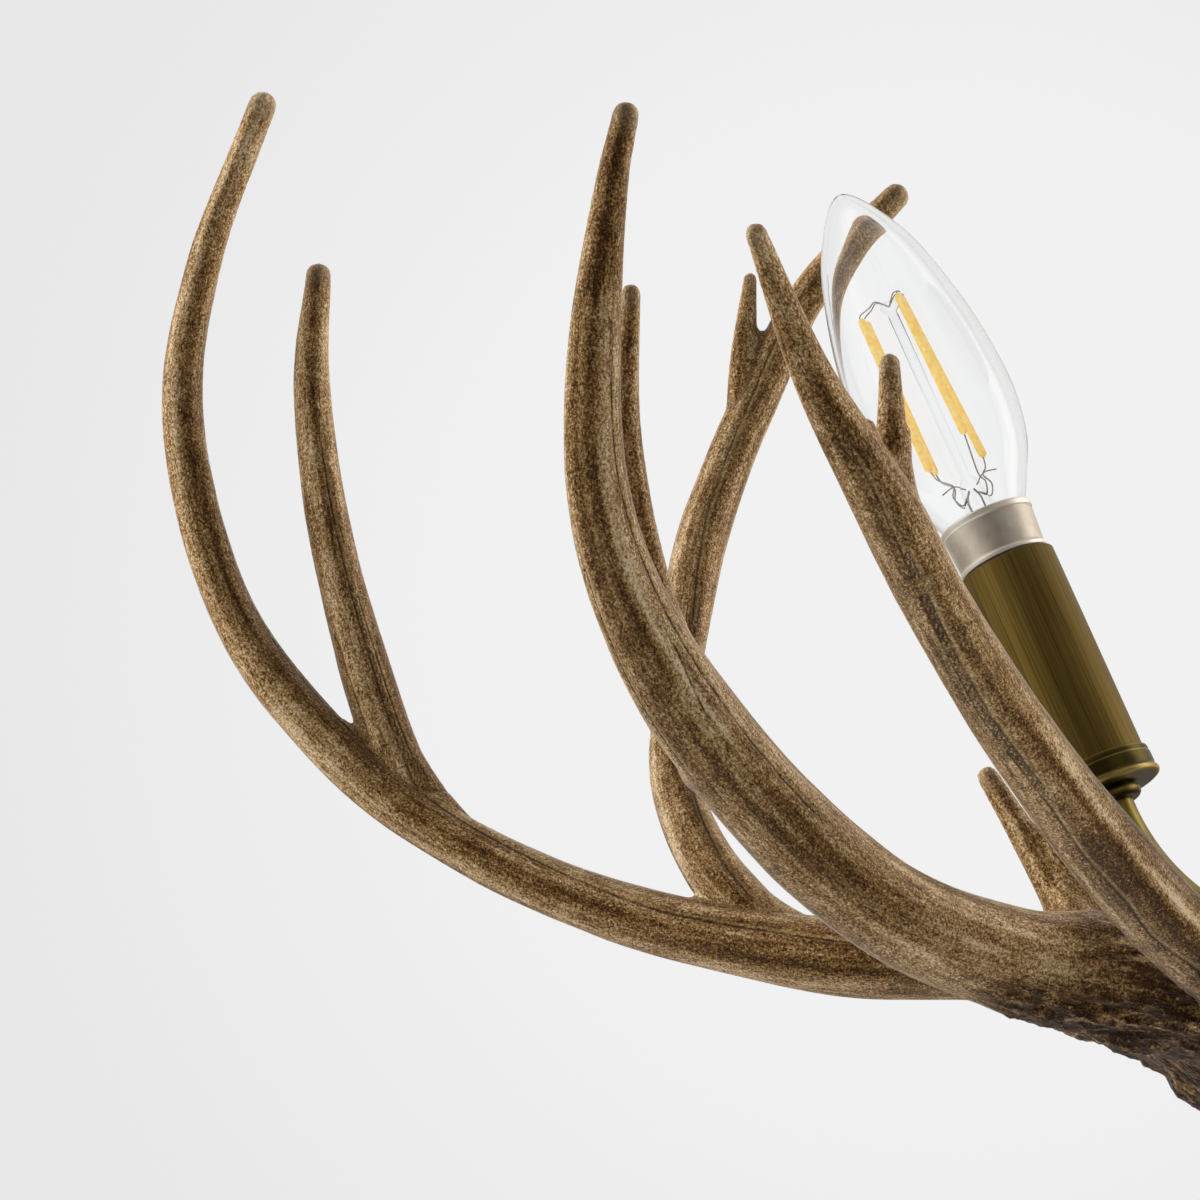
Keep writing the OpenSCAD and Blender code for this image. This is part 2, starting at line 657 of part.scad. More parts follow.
// The lamp's screw cap and its satin collar, in one piece.
module bulb_base(i) {
    cap = lamp_cap_d / 2;
    top = collar_d / 2;
    low = top - 1.2;
    color("#b7aea4") on_candle(i) rotate_extrude() polygon([
        [0, cap_low], [2.5, cap_low], [3, cap_low + 1.5], [cap - 0.8, cap_low + 4], [cap, cap_low + 5],
        [cap, collar_low - 1], [low - 0.5, collar_low], [low, sleeve_top + 0.6], [low + 0.4, sleeve_top + 1.6],
        [top - 0.4, collar_top - collar_lip], [top, collar_top - collar_lip / 2], [top - 0.4, collar_top],
        [top - 1, collar_top], [top - 1, collar_top - 5], [cap - 1, collar_top - 6], [cap - 1, cap_low + 5],
        [0, cap_low + 4]
    ]);
}

// Half widths of the lamp glass at heights above the collar, as shares of its size.
GLASS = [
    [0, 0.54], [0.07, 0.70], [0.16, 0.89], [0.265, 0.985], [0.37, 1], [0.53, 0.93],
    [0.68, 0.79], [0.81, 0.615], [0.91, 0.385], [0.97, 0.2], [0.993, 0.08]
];
function glass_side(wall) =
    [for (p = curve(GLASS, 3)) [max(p[1] * glass_d / 2 - wall, 0.2), collar_top + p[0] * glass_h - wall * p[0]]];

module bulb_glass(i) {
    outside = glass_side(0);
    inside = glass_side(glass_wall);
    n = len(outside);
    foot = collar_top - glass_grip;
    color("#eef2f4", 0.3) on_candle(i) rotate_extrude() polygon(concat(
        [[outside[0][0], foot]], outside, [[0, collar_top + glass_h]],
        [[0, collar_top + glass_h - glass_wall]],
        [for (k = [n - 1:-1:0]) inside[k]], [[inside[0][0], foot]]
    ));
}

module bar(a, b, r, sides) {
    d = b - a;
    translate(a) rotate([0, acos(d[2] / norm(d)), atan2(d[1], d[0])]) cylinder(h = norm(d), r = r, $fn = sides);
}

// The level direction from the lamp's axis towards a point.
function toward(p) = unit([p[0], p[1], 0]);

// The glass stem stands in the collar and carries the lead wires and four filaments.
module bulb_filament(i) {
    low = collar_top - 6;
    press = collar_top + press_h;
    foot = collar_top + filament_foot;
    head = foot + filament_l;
    knob = collar_top + knob_h;
    color("#f7c65a") on_candle(i) {
        rotate_extrude() polygon([
            [0, low], [cap_inside, low], [cap_inside, low + 1], [4, collar_top], [2.8, press - 4],
            [2.4, press - 1], [rod_glass_r, press + 1], [rod_glass_r, knob - 1.5], [knob_r, knob - 0.6],
            [knob_r, knob + 0.2], [1.2, knob + 1.1], [0, knob + 1.2]
        ]);
        for (ends = FILAMENTS) {
            low_end = ends[0] + [0, 0, foot];
            high_end = ends[1] + [0, 0, head];
            bar(low_end, high_end, filament_r, 16);
            bar(lead_out * toward(low_end) + [0, 0, press - 2], low_end + [0, 0, 0.5], lead_wire_r, wire_sides);
            bar(lead_out * toward(high_end) + [0, 0, knob - 0.2], high_end - [0, 0, 0.5], lead_wire_r, wire_sides);
        }
    }
}
// One lead in each arm, a splice in the hub, and the main lead up the stem to the terminal block.
module wiring() {
    splice_low = rod_high + 1;
    splice_high = hub_high - cap_spigot - 1;
    main_low = splice_high - 2;
    color("#1f1d1b") {
        for (i = [0:LIGHTS - 1]) on_arm(i) arm_route(lead_r, splice_r - 1.5, socket_low - 1);
        from_hub() translate([0, 0, splice_low]) cylinder(h = splice_high - splice_low, r = splice_r);
        from_hub() translate([0, 0, main_low]) cylinder(h = block_low + drop - main_low, r = main_lead_r);
    }
}

mounting_bracket();
ground_screw();
canopy_studs();
canopy();
cap_nut(0);  // cap_nut_1
cap_nut(1);  // cap_nut_2
stem_nut();
terminal_block();
stem_collar();
stem();
hub_cap();
hub_body();
rod_nut();
threaded_rod();
spacer();
antler_plate();
antler_screws();
finial();
wiring();
for (i = [0:LIGHTS - 1]) {
    arm(i);
    neck_ring(i);
    candle_cup(i);
    candle_sleeve(i);
    lamp_holder(i);
    bulb_base(i);
    bulb_glass(i);
    bulb_filament(i);
}
for (i = [0:len(ANTLER_TURNS) - 1]) {
    long_antler(i);
    forked_antler(i);
}
for (i = [0:len(BROAD_TURNS) - 1]) {
    broad_antler(i);
}
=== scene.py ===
# Antler semi-flush ceiling light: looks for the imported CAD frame.
# Shapes are written in millimetres, as in the part's source, and made in metres.
import math

import bmesh
import bpy
import numpy as np
from mathutils import Matrix, Vector


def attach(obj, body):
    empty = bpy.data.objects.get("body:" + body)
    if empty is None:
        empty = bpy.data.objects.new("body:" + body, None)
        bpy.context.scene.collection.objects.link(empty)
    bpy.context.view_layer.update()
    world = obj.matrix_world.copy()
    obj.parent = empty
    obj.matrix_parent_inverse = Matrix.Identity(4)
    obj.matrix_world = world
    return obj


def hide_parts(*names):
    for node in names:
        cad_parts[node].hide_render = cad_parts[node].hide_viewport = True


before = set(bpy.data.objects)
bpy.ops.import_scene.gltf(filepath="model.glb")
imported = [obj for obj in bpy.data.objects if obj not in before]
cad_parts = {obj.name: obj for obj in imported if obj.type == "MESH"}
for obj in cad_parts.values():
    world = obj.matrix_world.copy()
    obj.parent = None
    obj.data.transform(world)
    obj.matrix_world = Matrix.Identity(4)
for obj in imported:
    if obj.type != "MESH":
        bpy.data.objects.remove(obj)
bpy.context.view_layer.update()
MM = 0.001

# The camera looks 10 degrees up at the left part of the light, through a long lens.
CAMERA_AIM = Vector((-204, 0, -191)) * MM
CAMERA_DISTANCE = 1490 * MM
CAMERA_LOOKS_UP = math.radians(10)
LENS = 210
SENSOR_WIDTH = 36
VIEW_REACH = 60
camera_data = bpy.data.cameras.new("camera")
camera_data.lens = LENS
camera_data.sensor_width = SENSOR_WIDTH
camera_data.clip_end = VIEW_REACH
camera = bpy.data.objects.new("camera", camera_data)
bpy.context.scene.collection.objects.link(camera)
camera_way = Vector((0, math.cos(CAMERA_LOOKS_UP), math.sin(CAMERA_LOOKS_UP)))
camera.location = CAMERA_AIM - CAMERA_DISTANCE * camera_way
camera.rotation_euler = (math.pi / 2 + CAMERA_LOOKS_UP, 0, 0)
bpy.context.scene.camera = camera
bpy.context.scene.view_settings.view_transform = "Standard"


def linear(hex_colour):
    """A colour written as sRGB hex, as the linear colour that a node takes."""
    parts = [int(hex_colour[i:i + 2], 16) / 255 for i in (1, 3, 5)]
    return (*[p / 12.92 if p <= 0.04045 else ((p + 0.055) / 1.055) ** 2.4 for p in parts], 1.0)


def add(tree, kind, inputs=None, ramp=None, **settings):
    """Adds a node. inputs gives its sockets values or links, ramp gives a colour ramp's stops."""
    node = tree.nodes.new(kind)
    for key, value in settings.items():
        setattr(node, key, value)
    for key, value in (inputs or {}).items():
        if isinstance(value, bpy.types.NodeSocket):
            tree.links.new(value, node.inputs[key])
        else:
            node.inputs[key].default_value = value
    for i, (place, colour) in enumerate(ramp or []):
        stops = node.color_ramp.elements
        stop = stops[i] if i < 2 else stops.new(place)
        stop.position = place
        stop.color = linear(colour)
    return node


def finish_named(name, **sockets):
    """A material and its shader; sockets sets the values that are the same all over the surface."""
    material = bpy.data.materials.new(name)
    material.use_nodes = True
    shader = material.node_tree.nodes["Principled BSDF"]
    for key, value in sockets.items():
        shader.inputs[key.replace("_", " ").title().replace("Ior", "IOR")].default_value = value
    return material, material.node_tree, shader


def attribute(tree, name, output="Vector"):
    """A value that the mesh carries at each vertex."""
    return add(tree, "ShaderNodeAttribute", attribute_name=name).outputs[output]


def object_place(tree):
    """Where a point lies in the shared frame, in metres."""
    return add(tree, "ShaderNodeTexCoord").outputs["Object"]


def parts_of(tree, vector):
    """A vector's x, y and z."""
    return add(tree, "ShaderNodeSeparateXYZ", {0: vector}).outputs


def maths(tree, operation, *values):
    """What a Math node makes of one to three values."""
    return add(tree, "ShaderNodeMath", dict(enumerate(values)), operation=operation).outputs[0]


def span(tree, value, source, target=(0.0, 1.0), **settings):
    """A value carried from the source range to the target range, and held at its ends."""
    low, high = source
    start, end = target
    sockets = {0: value, "From Min": low, "From Max": high, "To Min": start, "To Max": end}
    return add(tree, "ShaderNodeMapRange", sockets, **settings).outputs[0]


def noise(tree, source, scale, stretch=(1, 1, 1), detail=2.0, breakup=0.6):
    """Clouds between 0 and 1; scale is how many fit in one unit of the source."""
    mapped = add(tree, "ShaderNodeMapping", {0: source, "Scale": stretch}).outputs[0]
    sockets = {0: mapped, "Scale": scale, "Detail": detail, "Roughness": breakup}
    return add(tree, "ShaderNodeTexNoise", sockets).outputs[0]


def graded(tree, value, stops):
    """A colour picked from a ramp."""
    return add(tree, "ShaderNodeValToRGB", {0: value}, ramp=stops).outputs[0]


def blend(tree, share, base, over):
    """A colour that goes from base to over as share goes from 0 to 1."""
    return add(tree, "ShaderNodeMix", {0: share, 6: base, 7: over}, data_type="RGBA").outputs[2]


def bumped(tree, shader, height, distance, strength):
    """Shades the surface as if height raised it; distance is in metres."""
    bump = add(tree, "ShaderNodeBump", {"Height": height, "Distance": distance, "Strength": strength})
    tree.links.new(bump.outputs[0], shader.inputs["Normal"])


# Antler: cast polyester resin, stained brown, sponged and rubbed back by hand, then sealed with lacquer.
# The eye sees a wormy speckle about 0.6 mm wide, long burnt umber streaks that also paint in shade down the
# strands' middles, pale streaks that are painted highlights and rim light along the flanks and lower edges,
# pale ridges that are rubbed and also painted as highlights, and a satin gloss that turns greyish at the
# edges.
def antler_finish():
    material, tree, shader = finish_named(
        "cast_resin_antler", specular_ior_level=0.2, specular_tint=linear("#f0c694"), coat_weight=0.07,
        coat_roughness=0.16, sheen_weight=0.14, sheen_roughness=0.25)
    # The flow runs along each strand and across it, in millimetres. The lines are the distances to the two
    # nearest grooves, and the streaks' darkness: umber stain and painted shade down the middles, and painted
    # highlights and rim light, which are negative, towards the flanks and lower edges.
    flow = attribute(tree, "flow")
    lines = parts_of(tree, attribute(tree, "lines"))
    burr = attribute(tree, "burr", "Fac")
    tip = attribute(tree, "tip", "Fac")
    place = object_place(tree)

    def plus(value, weight, rest):
        return maths(tree, "MULTIPLY_ADD", value, weight, rest)

    # Every weight is how far that pattern moves the tone, from 0, dark, to 1, pale.
    fleck_weight, worm_weight, grain_level = 1.15, 1.4, -1.28
    blotch_weight, streak_weight, tone_level = 0.5, 1.15, -0.31
    painted_weight, hair_weight, furrow_weight, burr_weight = -0.13, -1.0, 0.6, -0.7
    worm = noise(tree, flow, 1.9, (0.8, 1, 1))
    fleck = noise(tree, place, 2900)
    blotch = noise(tree, place, 150, detail=3)
    streak = noise(tree, flow, 1.0, (0.025, 0.42, 0.42), 3)
    grain = plus(fleck, fleck_weight, plus(worm, worm_weight, grain_level))
    tone = plus(blotch, blotch_weight, plus(streak, streak_weight, plus(grain, 1.0, tone_level)))
    # The streaks: stain and painted shade darken the tone, and painted highlights and rim light make it
    # paler.
    tone = plus(lines[2], painted_weight, tone)
    # Hairlines of stain run along the growth.
    hair = maths(tree, "ADD", noise(tree, flow, 0.3, (0.3, 1, 1), 3), -0.5)
    hair = span(tree, maths(tree, "ABSOLUTE", hair), (0.002, 0.012), (0.3, 0.0))
    tone = plus(hair, hair_weight, tone)
    # The burr is darker, with furrows between paler crests.
    furrow = span(tree, noise(tree, flow, 0.8, (0.35, 1, 1), 5), (0.4, 0.6))
    furrow = maths(tree, "MULTIPLY", furrow, burr)
    tone = plus(furrow, furrow_weight, plus(burr, burr_weight, tone))
    colour = graded(tree, tone, [
        (0.0, "#26150a"), (1.0, "#cdb89a"), (0.25, "#4d351b"), (0.48, "#7a5c36"), (0.7, "#a08661"),
    ])
    colour = blend(tree, tip, colour, linear("#8d7f6c"))
    # A groove is 0.5 mm wide and holds dark stain; the ridge along its upper side is rubbed pale and also
    # carries a painted highlight.
    nearest = maths(tree, "MINIMUM", maths(tree, "ABSOLUTE", lines[0]), maths(tree, "ABSOLUTE", lines[1]))
    groove = span(tree, nearest, (0.08, 0.38), (1.0, 0.0))
    broken = span(tree, noise(tree, flow, 0.2), (0.4, 0.6), (0.5, 0.95))
    groove = maths(tree, "MULTIPLY", groove, broken)
    beside = maths(tree, "ABSOLUTE", maths(tree, "ADD", lines[0], -0.7))
    ridge = span(tree, beside, (0.1, 0.45), (0.22, 0.0))
    colour = blend(tree, ridge, colour, linear("#b29a6e"))
    colour = blend(tree, groove, colour, linear("#2c1f14"))
    tree.links.new(colour, shader.inputs["Base Color"])
    relief = plus(grain, 0.35, plus(groove, -1.0, plus(ridge, 0.4, 0.0)))
    relief = plus(furrow, 4.0, plus(streak, 0.8, relief))
    bumped(tree, shader, relief, 0.0004, 0.7)
    gloss = span(tree, fleck, (0.35, 0.65), (0.5, 0.3))
    tree.links.new(gloss, shader.inputs["Roughness"])
    return material


def metal_finish(name, low, high, roughness, metallic=1.0, scale=260.0, stretch=(1, 1, 1), bump=0.1,
                 follows=None, edge_wear_and_highlight=None):
    """A plated or stained finish that clouds from low to high. The cloud lies on the shared frame, or on the
    attribute that follows names. The edge colour is that of edges that handling has polished, and also of a
    highlight painted along them, and a vertex attribute gives where it lies."""
    material, tree, shader = finish_named(name, metallic=metallic, roughness=roughness)
    place = attribute(tree, follows) if follows else object_place(tree)
    cloud = noise(tree, place, scale, stretch, 4)
    colour = graded(tree, cloud, [(0.32, low), (0.68, high)])
    if edge_wear_and_highlight:
        # Polished edges, with a highlight painted along them.
        colour = blend(tree, attribute(tree, "rub_and_highlight", "Fac"), colour, linear(edge_wear_and_highlight))
    tree.links.new(colour, shader.inputs["Base Color"])
    rough = span(tree, cloud, (0.0, 1.0), (roughness - 0.08, roughness + 0.08))
    tree.links.new(rough, shader.inputs["Roughness"])
    bumped(tree, shader, cloud, 0.0001, bump)
    return material


def plastic_finish(name, low, high, roughness):
    """Moulded plastic: one colour, with a faint mottle 2.5 mm across."""
    return metal_finish(name, low, high, roughness, metallic=0.0, scale=400, bump=0.15)


def glass_finish(name, bend):
    """Clear glass with a faint drift of tint, 17 mm across; bend is how far it turns light."""
    material, tree, shader = finish_named(name, roughness=0.0, ior=bend, transmission_weight=1.0)
    drift = noise(tree, object_place(tree), 60, detail=1, breakup=0.5)
    tint = graded(tree, drift, [(0.3, "#fdfefe"), (0.7, "#ffffff")])
    tree.links.new(tint, shader.inputs["Base Color"])
    return material


def filament_finish():
    """Phosphor in silicone, moulded on a strip: matt egg yellow, mottled 1 mm across, with a faint painted
    glow from emission.
    """
    material, tree, shader = finish_named("phosphor_coat", roughness=0.45, emission_strength=0.35)
    cloud = noise(tree, object_place(tree), 900, breakup=0.5)
    colour = graded(tree, cloud, [(0.3, "#f3c65e"), (0.7, "#fbdd8e")])
    tree.links.new(colour, shader.inputs["Base Color"])
    tree.links.new(colour, shader.inputs["Emission Color"])
    return material


RESIN = antler_finish()
# Oil rubbed bronze: steel, plated, stained and waxed. Dark and satin, in soft clouds 8 mm across, with brass
# showing on the worn edges, where a bright highlight line is also painted along the cup's and ring's rims.
DARK_BRONZE = metal_finish("oil_rubbed_bronze", "#443b1d", "#615528", 0.4, scale=120, edge_wear_and_highlight="#c4ac66")
# Antique brass: tube and turned brass, stained olive, rubbed back and sealed, in soft clouds 7 mm across.
BRASS = metal_finish("antiqued_brass", "#6a5c2b", "#8a7b41", 0.36, scale=150, edge_wear_and_highlight="#ffe9a0")
# The same brass brushed along the sleeve: streaks 0.4 mm wide run its whole length.
BRUSHED = metal_finish(
    "brushed_antique_brass", "#5b4b22", "#8a753e", 0.55, scale=2.6, stretch=(1, 1, 0.012), bump=0.12,
    follows="flow")
# Satin nickel: aluminium, plated and tumbled. Pale and pearly, mottled 3 mm across; the collar's bead and lip
# are polished and also carry a pale painted highlight.
NICKEL = metal_finish("satin_nickel", "#d3ccbf", "#e9e2d5", 0.52, scale=300, edge_wear_and_highlight="#fffaf0")
# Bright zinc: pressed steel, electroplated. Pale grey, spangled 3 mm across.
ZINC = metal_finish("zinc_plated_steel", "#9fa09c", "#c2c3bf", 0.38, scale=350)
# Nickel wire: drawn, and dulled by the flame that seals the glass. Grey, mottled 2 mm along.
WIRE = metal_finish("nickel_wire", "#7d7874", "#c0bab4", 0.35, scale=500)
# Earth green: steel screw, dyed in a bath. Even and shiny, clouded 4 mm across.
GREEN = metal_finish("green_dyed_steel", "#2f7c3c", "#4a9a55", 0.35, metallic=0.6)
# White nylon, injection moulded: even and satin.
NYLON = plastic_finish("white_nylon", "#dedad0", "#efece4", 0.5)
# Phenolic, pressed in a hot mould: brownish black and satin.
PHENOLIC = plastic_finish("phenolic", "#25211e", "#35302b", 0.45)
# Wire sheath, extruded vinyl: black and a little waxy.
SHEATH = plastic_finish("wire_sheath", "#1a1817", "#2a2725", 0.55)
# Soda-lime glass, clear and smooth: blown for the bulb, drawn thin for the mount, which turns light less.
GLASS = glass_finish("blown_soda_lime_glass", 1.33)
MOUNT_GLASS = glass_finish("drawn_mount_glass", 1.06)
PHOSPHOR = filament_finish()


def to_mesh(name, shape, bend=None, sharp=32):
    """A finished mesh from a bmesh: doubles merged, faces outward, edges above sharp degrees kept crisp."""
    bmesh.ops.remove_doubles(shape, verts=shape.verts, dist=1e-7)
    bmesh.ops.recalc_face_normals(shape, faces=shape.faces)
    if bend is not None:
        shape.transform(bend)
    mesh = bpy.data.meshes.new(name)
    shape.to_mesh(mesh)
    shape.free()
    mesh.polygons.foreach_set("use_smooth", [True] * len(mesh.polygons))
    mesh.set_sharp_from_angle(angle=math.radians(sharp))
    return mesh


ON_AXIS = 1e-6


def turned(profile, sides=96):
    """A piece turned on its own axis, from a closed profile of [radius, height, edge] in millimetres. The
    third number is how far handling has polished that edge and how strongly a highlight is painted along it,
    and may be left out."""
    shape = bmesh.new()
    wear_highlight_layer = shape.verts.layers.float.new("rub_and_highlight")
    columns = []
    for k in range(sides):
        a = 2 * math.pi * k / sides
        ring = [(p[0] * MM * math.cos(a), p[0] * MM * math.sin(a), p[1] * MM) for p in profile]
        columns.append([shape.verts.new(point) for point in ring])
        for vert, p in zip(columns[-1], profile):
            vert[wear_highlight_layer] = p[2] if len(p) > 2 else 0.0
    n = len(profile)
    for k in range(sides):
        here, there = columns[k], columns[(k + 1) % sides]
        for i in range(n):
            j = (i + 1) % n
            at_axis = (profile[i][0] < ON_AXIS, profile[j][0] < ON_AXIS)
            if all(at_axis):
                continue
            corners = [here[i], there[i], there[j], here[j]]
            if at_axis[0]:
                corners = [here[i], there[j], here[j]]
            elif at_axis[1]:
                corners = [here[i], there[i], here[j]]
            shape.faces.new(corners)
    return shape


def piece(name, mesh, body, nodes, material):
    """Puts a mesh in the scene as a piece that rides on a body and stands for CAD nodes."""
    mesh.materials.clear()
    mesh.materials.append(material)
    thing = bpy.data.objects.new(name, mesh)
    bpy.context.scene.collection.objects.link(thing)
    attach(thing, body)
    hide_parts(*nodes)


def plain_mesh(thing):
    """What an object's modifiers make, as a mesh of its own."""
    graph = bpy.context.evaluated_depsgraph_get()
    shown = thing.evaluated_get(graph)
    return bpy.data.meshes.new_from_object(shown, preserve_all_data_layers=True, depsgraph=graph)


# An edge that turns by more degrees than this is broken.
SOFTENED_ABOVE = 28


def softened(mesh, width):
    """The mesh with its sharp edges broken by a small bevel."""
    thing = bpy.data.objects.new("to_soften", mesh)
    bpy.context.scene.collection.objects.link(thing)
    bevel = thing.modifiers.new("edge break", "BEVEL")
    bevel.width = width * MM
    bevel.segments = 2
    bevel.limit_method = "ANGLE"
    bevel.angle_limit = math.radians(SOFTENED_ABOVE)
    bevel.use_clamp_overlap = True
    result = plain_mesh(thing)
    result.name = mesh.name
    bpy.data.objects.remove(thing)
    return result


# Sizes that the source also has.
DROP = 290
FIRST_ARM = 164
ARM_REACH = 98
ARM_LEVEL = 25
ARM_BEND = 53
LEAN = math.radians(23.5)
NECK = 5
CUP_LEVEL = ARM_LEVEL + ARM_BEND * (1 - math.sin(LEAN)) + NECK * math.cos(LEAN)
SLEEVE_TOP = 55.4
COLLAR_TOP = SLEEVE_TOP + 11.7
GLASS_R = 17.7
GLASS_H = 81.5
LIGHTS = range(4)


def hub_place(turn):
    """The hub's own frame, turned by so many degrees about the stem."""
    return Matrix.Translation((0, 0, -DROP * MM)) @ Matrix.Rotation(math.radians(turn), 4, "Z")


def candle_place(i):
    """The frame of candle i: its z runs up the leaning candle, from the cup's underside."""
    lift = Matrix.Translation((ARM_REACH * MM, 0, CUP_LEVEL * MM))
    return hub_place(FIRST_ARM + 90 * i) @ lift @ Matrix.Rotation(LEAN, 4, "Y")


def catmull(points, steps):
    """The smooth curve through control points, as the source draws it."""
    p = np.array(points, float)
    p = np.vstack([2 * p[0] - p[1], p, 2 * p[-1] - p[-2]])
    out = []
    for i in range(len(p) - 3):
        a, b, c, d = p[i:i + 4]
        for k in range(steps):
            t = k / steps
            bow = (2 * a - 5 * b + 4 * c - d) * t * t
            twist = (3 * b - a - 3 * c + d) * t ** 3
            out.append(0.5 * (2 * b + (c - a) * t + bow + twist))
    out.append(p[-2])
    return np.array(out)


# Geometry Nodes: a solid skin of round section that follows each strand at the strand's own size.
def sweep_tree():
    tree = bpy.data.node_groups.new("strand_sweep", "GeometryNodeTree")
    tree.interface.new_socket("Strands", in_out="INPUT", socket_type="NodeSocketGeometry")
    for name, kind, value in (("Step", "NodeSocketFloat", 0.001), ("Sides", "NodeSocketInt", 32)):
        tree.interface.new_socket(name, in_out="INPUT", socket_type=kind).default_value = value
    tree.interface.new_socket("Finish", in_out="INPUT", socket_type="NodeSocketMaterial")
    tree.interface.new_socket("Skin", in_out="OUTPUT", socket_type="NodeSocketGeometry")
    source = add(tree, "NodeGroupInput")
    size = add(tree, "GeometryNodeInputNamedAttribute", {"Name": "size"}, data_type="FLOAT")
    curve = add(tree, "GeometryNodeMeshToCurve", {0: source.outputs["Strands"]})
    sized = add(tree, "GeometryNodeSetCurveRadius", {0: curve.outputs[0], "Radius": size.outputs[0]})
    even = add(tree, "GeometryNodeResampleCurve", {
        0: sized.outputs[0], "Length": source.outputs["Step"]}, mode="LENGTH")
    rim = add(tree, "GeometryNodeCurvePrimitiveCircle", {
        "Resolution": source.outputs["Sides"], "Radius": 1.0})
    radius = add(tree, "GeometryNodeInputRadius")
    skin = add(tree, "GeometryNodeCurveToMesh", {
        0: even.outputs[0], 1: rim.outputs[0], "Scale": radius.outputs[0], "Fill Caps": True})
    whole = add(tree, "GeometryNodeRealizeInstances", {0: skin.outputs[0]})
    painted = add(tree, "GeometryNodeSetMaterial", {
        0: whole.outputs[0], "Material": source.outputs["Finish"]})
    add(tree, "NodeGroupOutput", {0: painted.outputs[0]})
    return tree


SWEEP = sweep_tree()


def strand_object(name, strands, step, sides, material):
    """An object of loose strands [x, y, z, radius] in millimetres, with the sweep as its modifier."""
    verts, edges, sizes = [], [], []
    for strand in strands:
        start = len(verts)
        verts += [tuple(p[:3] * MM) for p in strand]
        sizes += [p[3] * MM for p in strand]
        edges += [(start + k, start + k + 1) for k in range(len(strand) - 1)]
    mesh = bpy.data.meshes.new(name)
    mesh.from_pydata(verts, edges, [])
    mesh.attributes.new("size", "FLOAT", "POINT").data.foreach_set("value", sizes)
    thing = bpy.data.objects.new(name, mesh)
    bpy.context.scene.collection.objects.link(thing)
    modifier = thing.modifiers.new("sweep", "NODES")
    modifier.node_group = SWEEP
    values = {"Step": step * MM, "Sides": sides, "Finish": material}
    for item in SWEEP.interface.items_tree:
        if item.in_out == "INPUT" and item.name in values:
            modifier[item.identifier] = values[item.name]
    return thing


def swept(name, strands, step, sides, material):
    """The skin that the sweep makes round the strands."""
    thing = strand_object(name, strands, step, sides, material)
    mesh = plain_mesh(thing)
    bpy.data.objects.remove(thing)
    return mesh


# Antler moulds, from the hub's origin: [x, y, z, radius], base first. Strand 0 is the beam, and the tines
# follow. A web is (root, a point up the tine, a point along the beam, half its thickness).
# A groove is (strand, [(mm along it, place across it), ...]), and a streak is (strand, darkness, width, the
# same). A dark streak is umber stain, and down a strand's middle it also paints in shade; a pale streak, of
# negative darkness, is a painted highlight or painted rim light. The place is a share of the radius as seen
# from the front, positive towards the inside of the curl.
# The side is the way that turns round a strand are counted from. The crease is (one strand, the other, where
# along the beam it starts). The burr is how far along the beam the bark reaches.
LONG = {
    "beam": [
        [-44, 10, -7, 12.5], [-62, 15, 0, 14], [-84, 24, 15, 12.6], [-111, 36, 26, 9.6],
        [-153, 54, 29.5, 8.4], [-200, 73, 41.7, 6.8], [-240, 88, 62, 6], [-267, 96, 85, 5.8],
        [-289, 103, 117, 5.3], [-299.6, 106, 160, 4.9], [-295, 104, 196, 3.9], [-281.6, 98, 231.8, 3.1]],
    "tines": [
        [[-244, 91, 66, 5.6], [-254, 96, 90, 6], [-265, 101, 130, 5.1], [-270, 104, 167, 4.2],
         [-268.8, 106, 193.6, 2.7]],
        [[-168, 63, 36, 7], [-180, 70, 52, 6.3], [-187, 80, 71, 5.6], [-187, 90, 92, 5.2],
         [-182, 102, 126, 6], [-175, 110, 149, 5.5], [-168, 114, 166, 5.3], [-158, 118, 188, 4.5],
         [-146, 120, 204, 3.7], [-135, 122, 216, 3]],
        [[-171, 112, 157, 4.4], [-170.6, 115, 178, 3.2], [-169.2, 118, 195.4, 1.8]]],
    "webs": [
        ([-245, 91, 67], [-255, 96, 94], [-228, 84, 55], 4.2),
        ([-257, 93, 80], [-256, 94, 89], [-263, 94, 87], 1.8),
        ([-172, 64, 39], [-181, 71, 55], [-158, 56, 33], 5),
        ([-172, 112, 160], [-171, 114, 172], [-166, 114, 172], 2.6)],
    "grooves": [
        (0, [(95, 0.4), (143, 0.45), (165, 0.42), (190, 0.62), (215, 0.74), (235, 0.86), (262, 0.93),
             (286, 0.93)]),
        (1, [(24, -0.62), (40, -0.7)]),
        (1, [(10, 0.3), (60, 0.34), (88, 0.25)]),
        (1, [(14, 0.62), (52, 0.6)]),
        (2, [(8, 0.44), (40, 0.6), (70, 0.63)]),
        (2, [(88, 0.22), (113, -0.1), (160, -0.3)])],
    "streaks": [
        # Umber stain and painted shade down the beam's middle, then a pale band of painted rim light along
        # its lower edge.
        (0, 0.7, 0.42, [(60, 0), (182, 0), (238, 0.15), (262, 0.35), (330, 0.3)]),
        (0, -0.9, 0.3, [(120, -0.7), (200, -0.68), (290, -0.6), (400, -0.5)]),
        (0, 1.2, 0.9, [(80, 0), (140, 0)]),
        (0, -1.0, 0.9, [(410, -0.3), (480, -0.2)]),
        (1, 1.0, 0.35, [(20, 0.4), (60, 0.3), (120, 0)]),
        (1, -1.0, 0.4, [(25, -0.45), (70, -0.4), (125, -0.4)]),
        (2, -2.2, 0.3, [(0, -0.8), (80, -0.75)]),
        (2, 0.7, 0.5, [(0, 0.2), (70, 0.1)]),
        (2, 1.0, 0.35, [(30, 0.4), (80, 0.4), (140, 0.3), (200, 0)])],
    "side": [0.34, 0.94, 0],
    "crease": (0, 1, 262),
    "burr": 84,
}
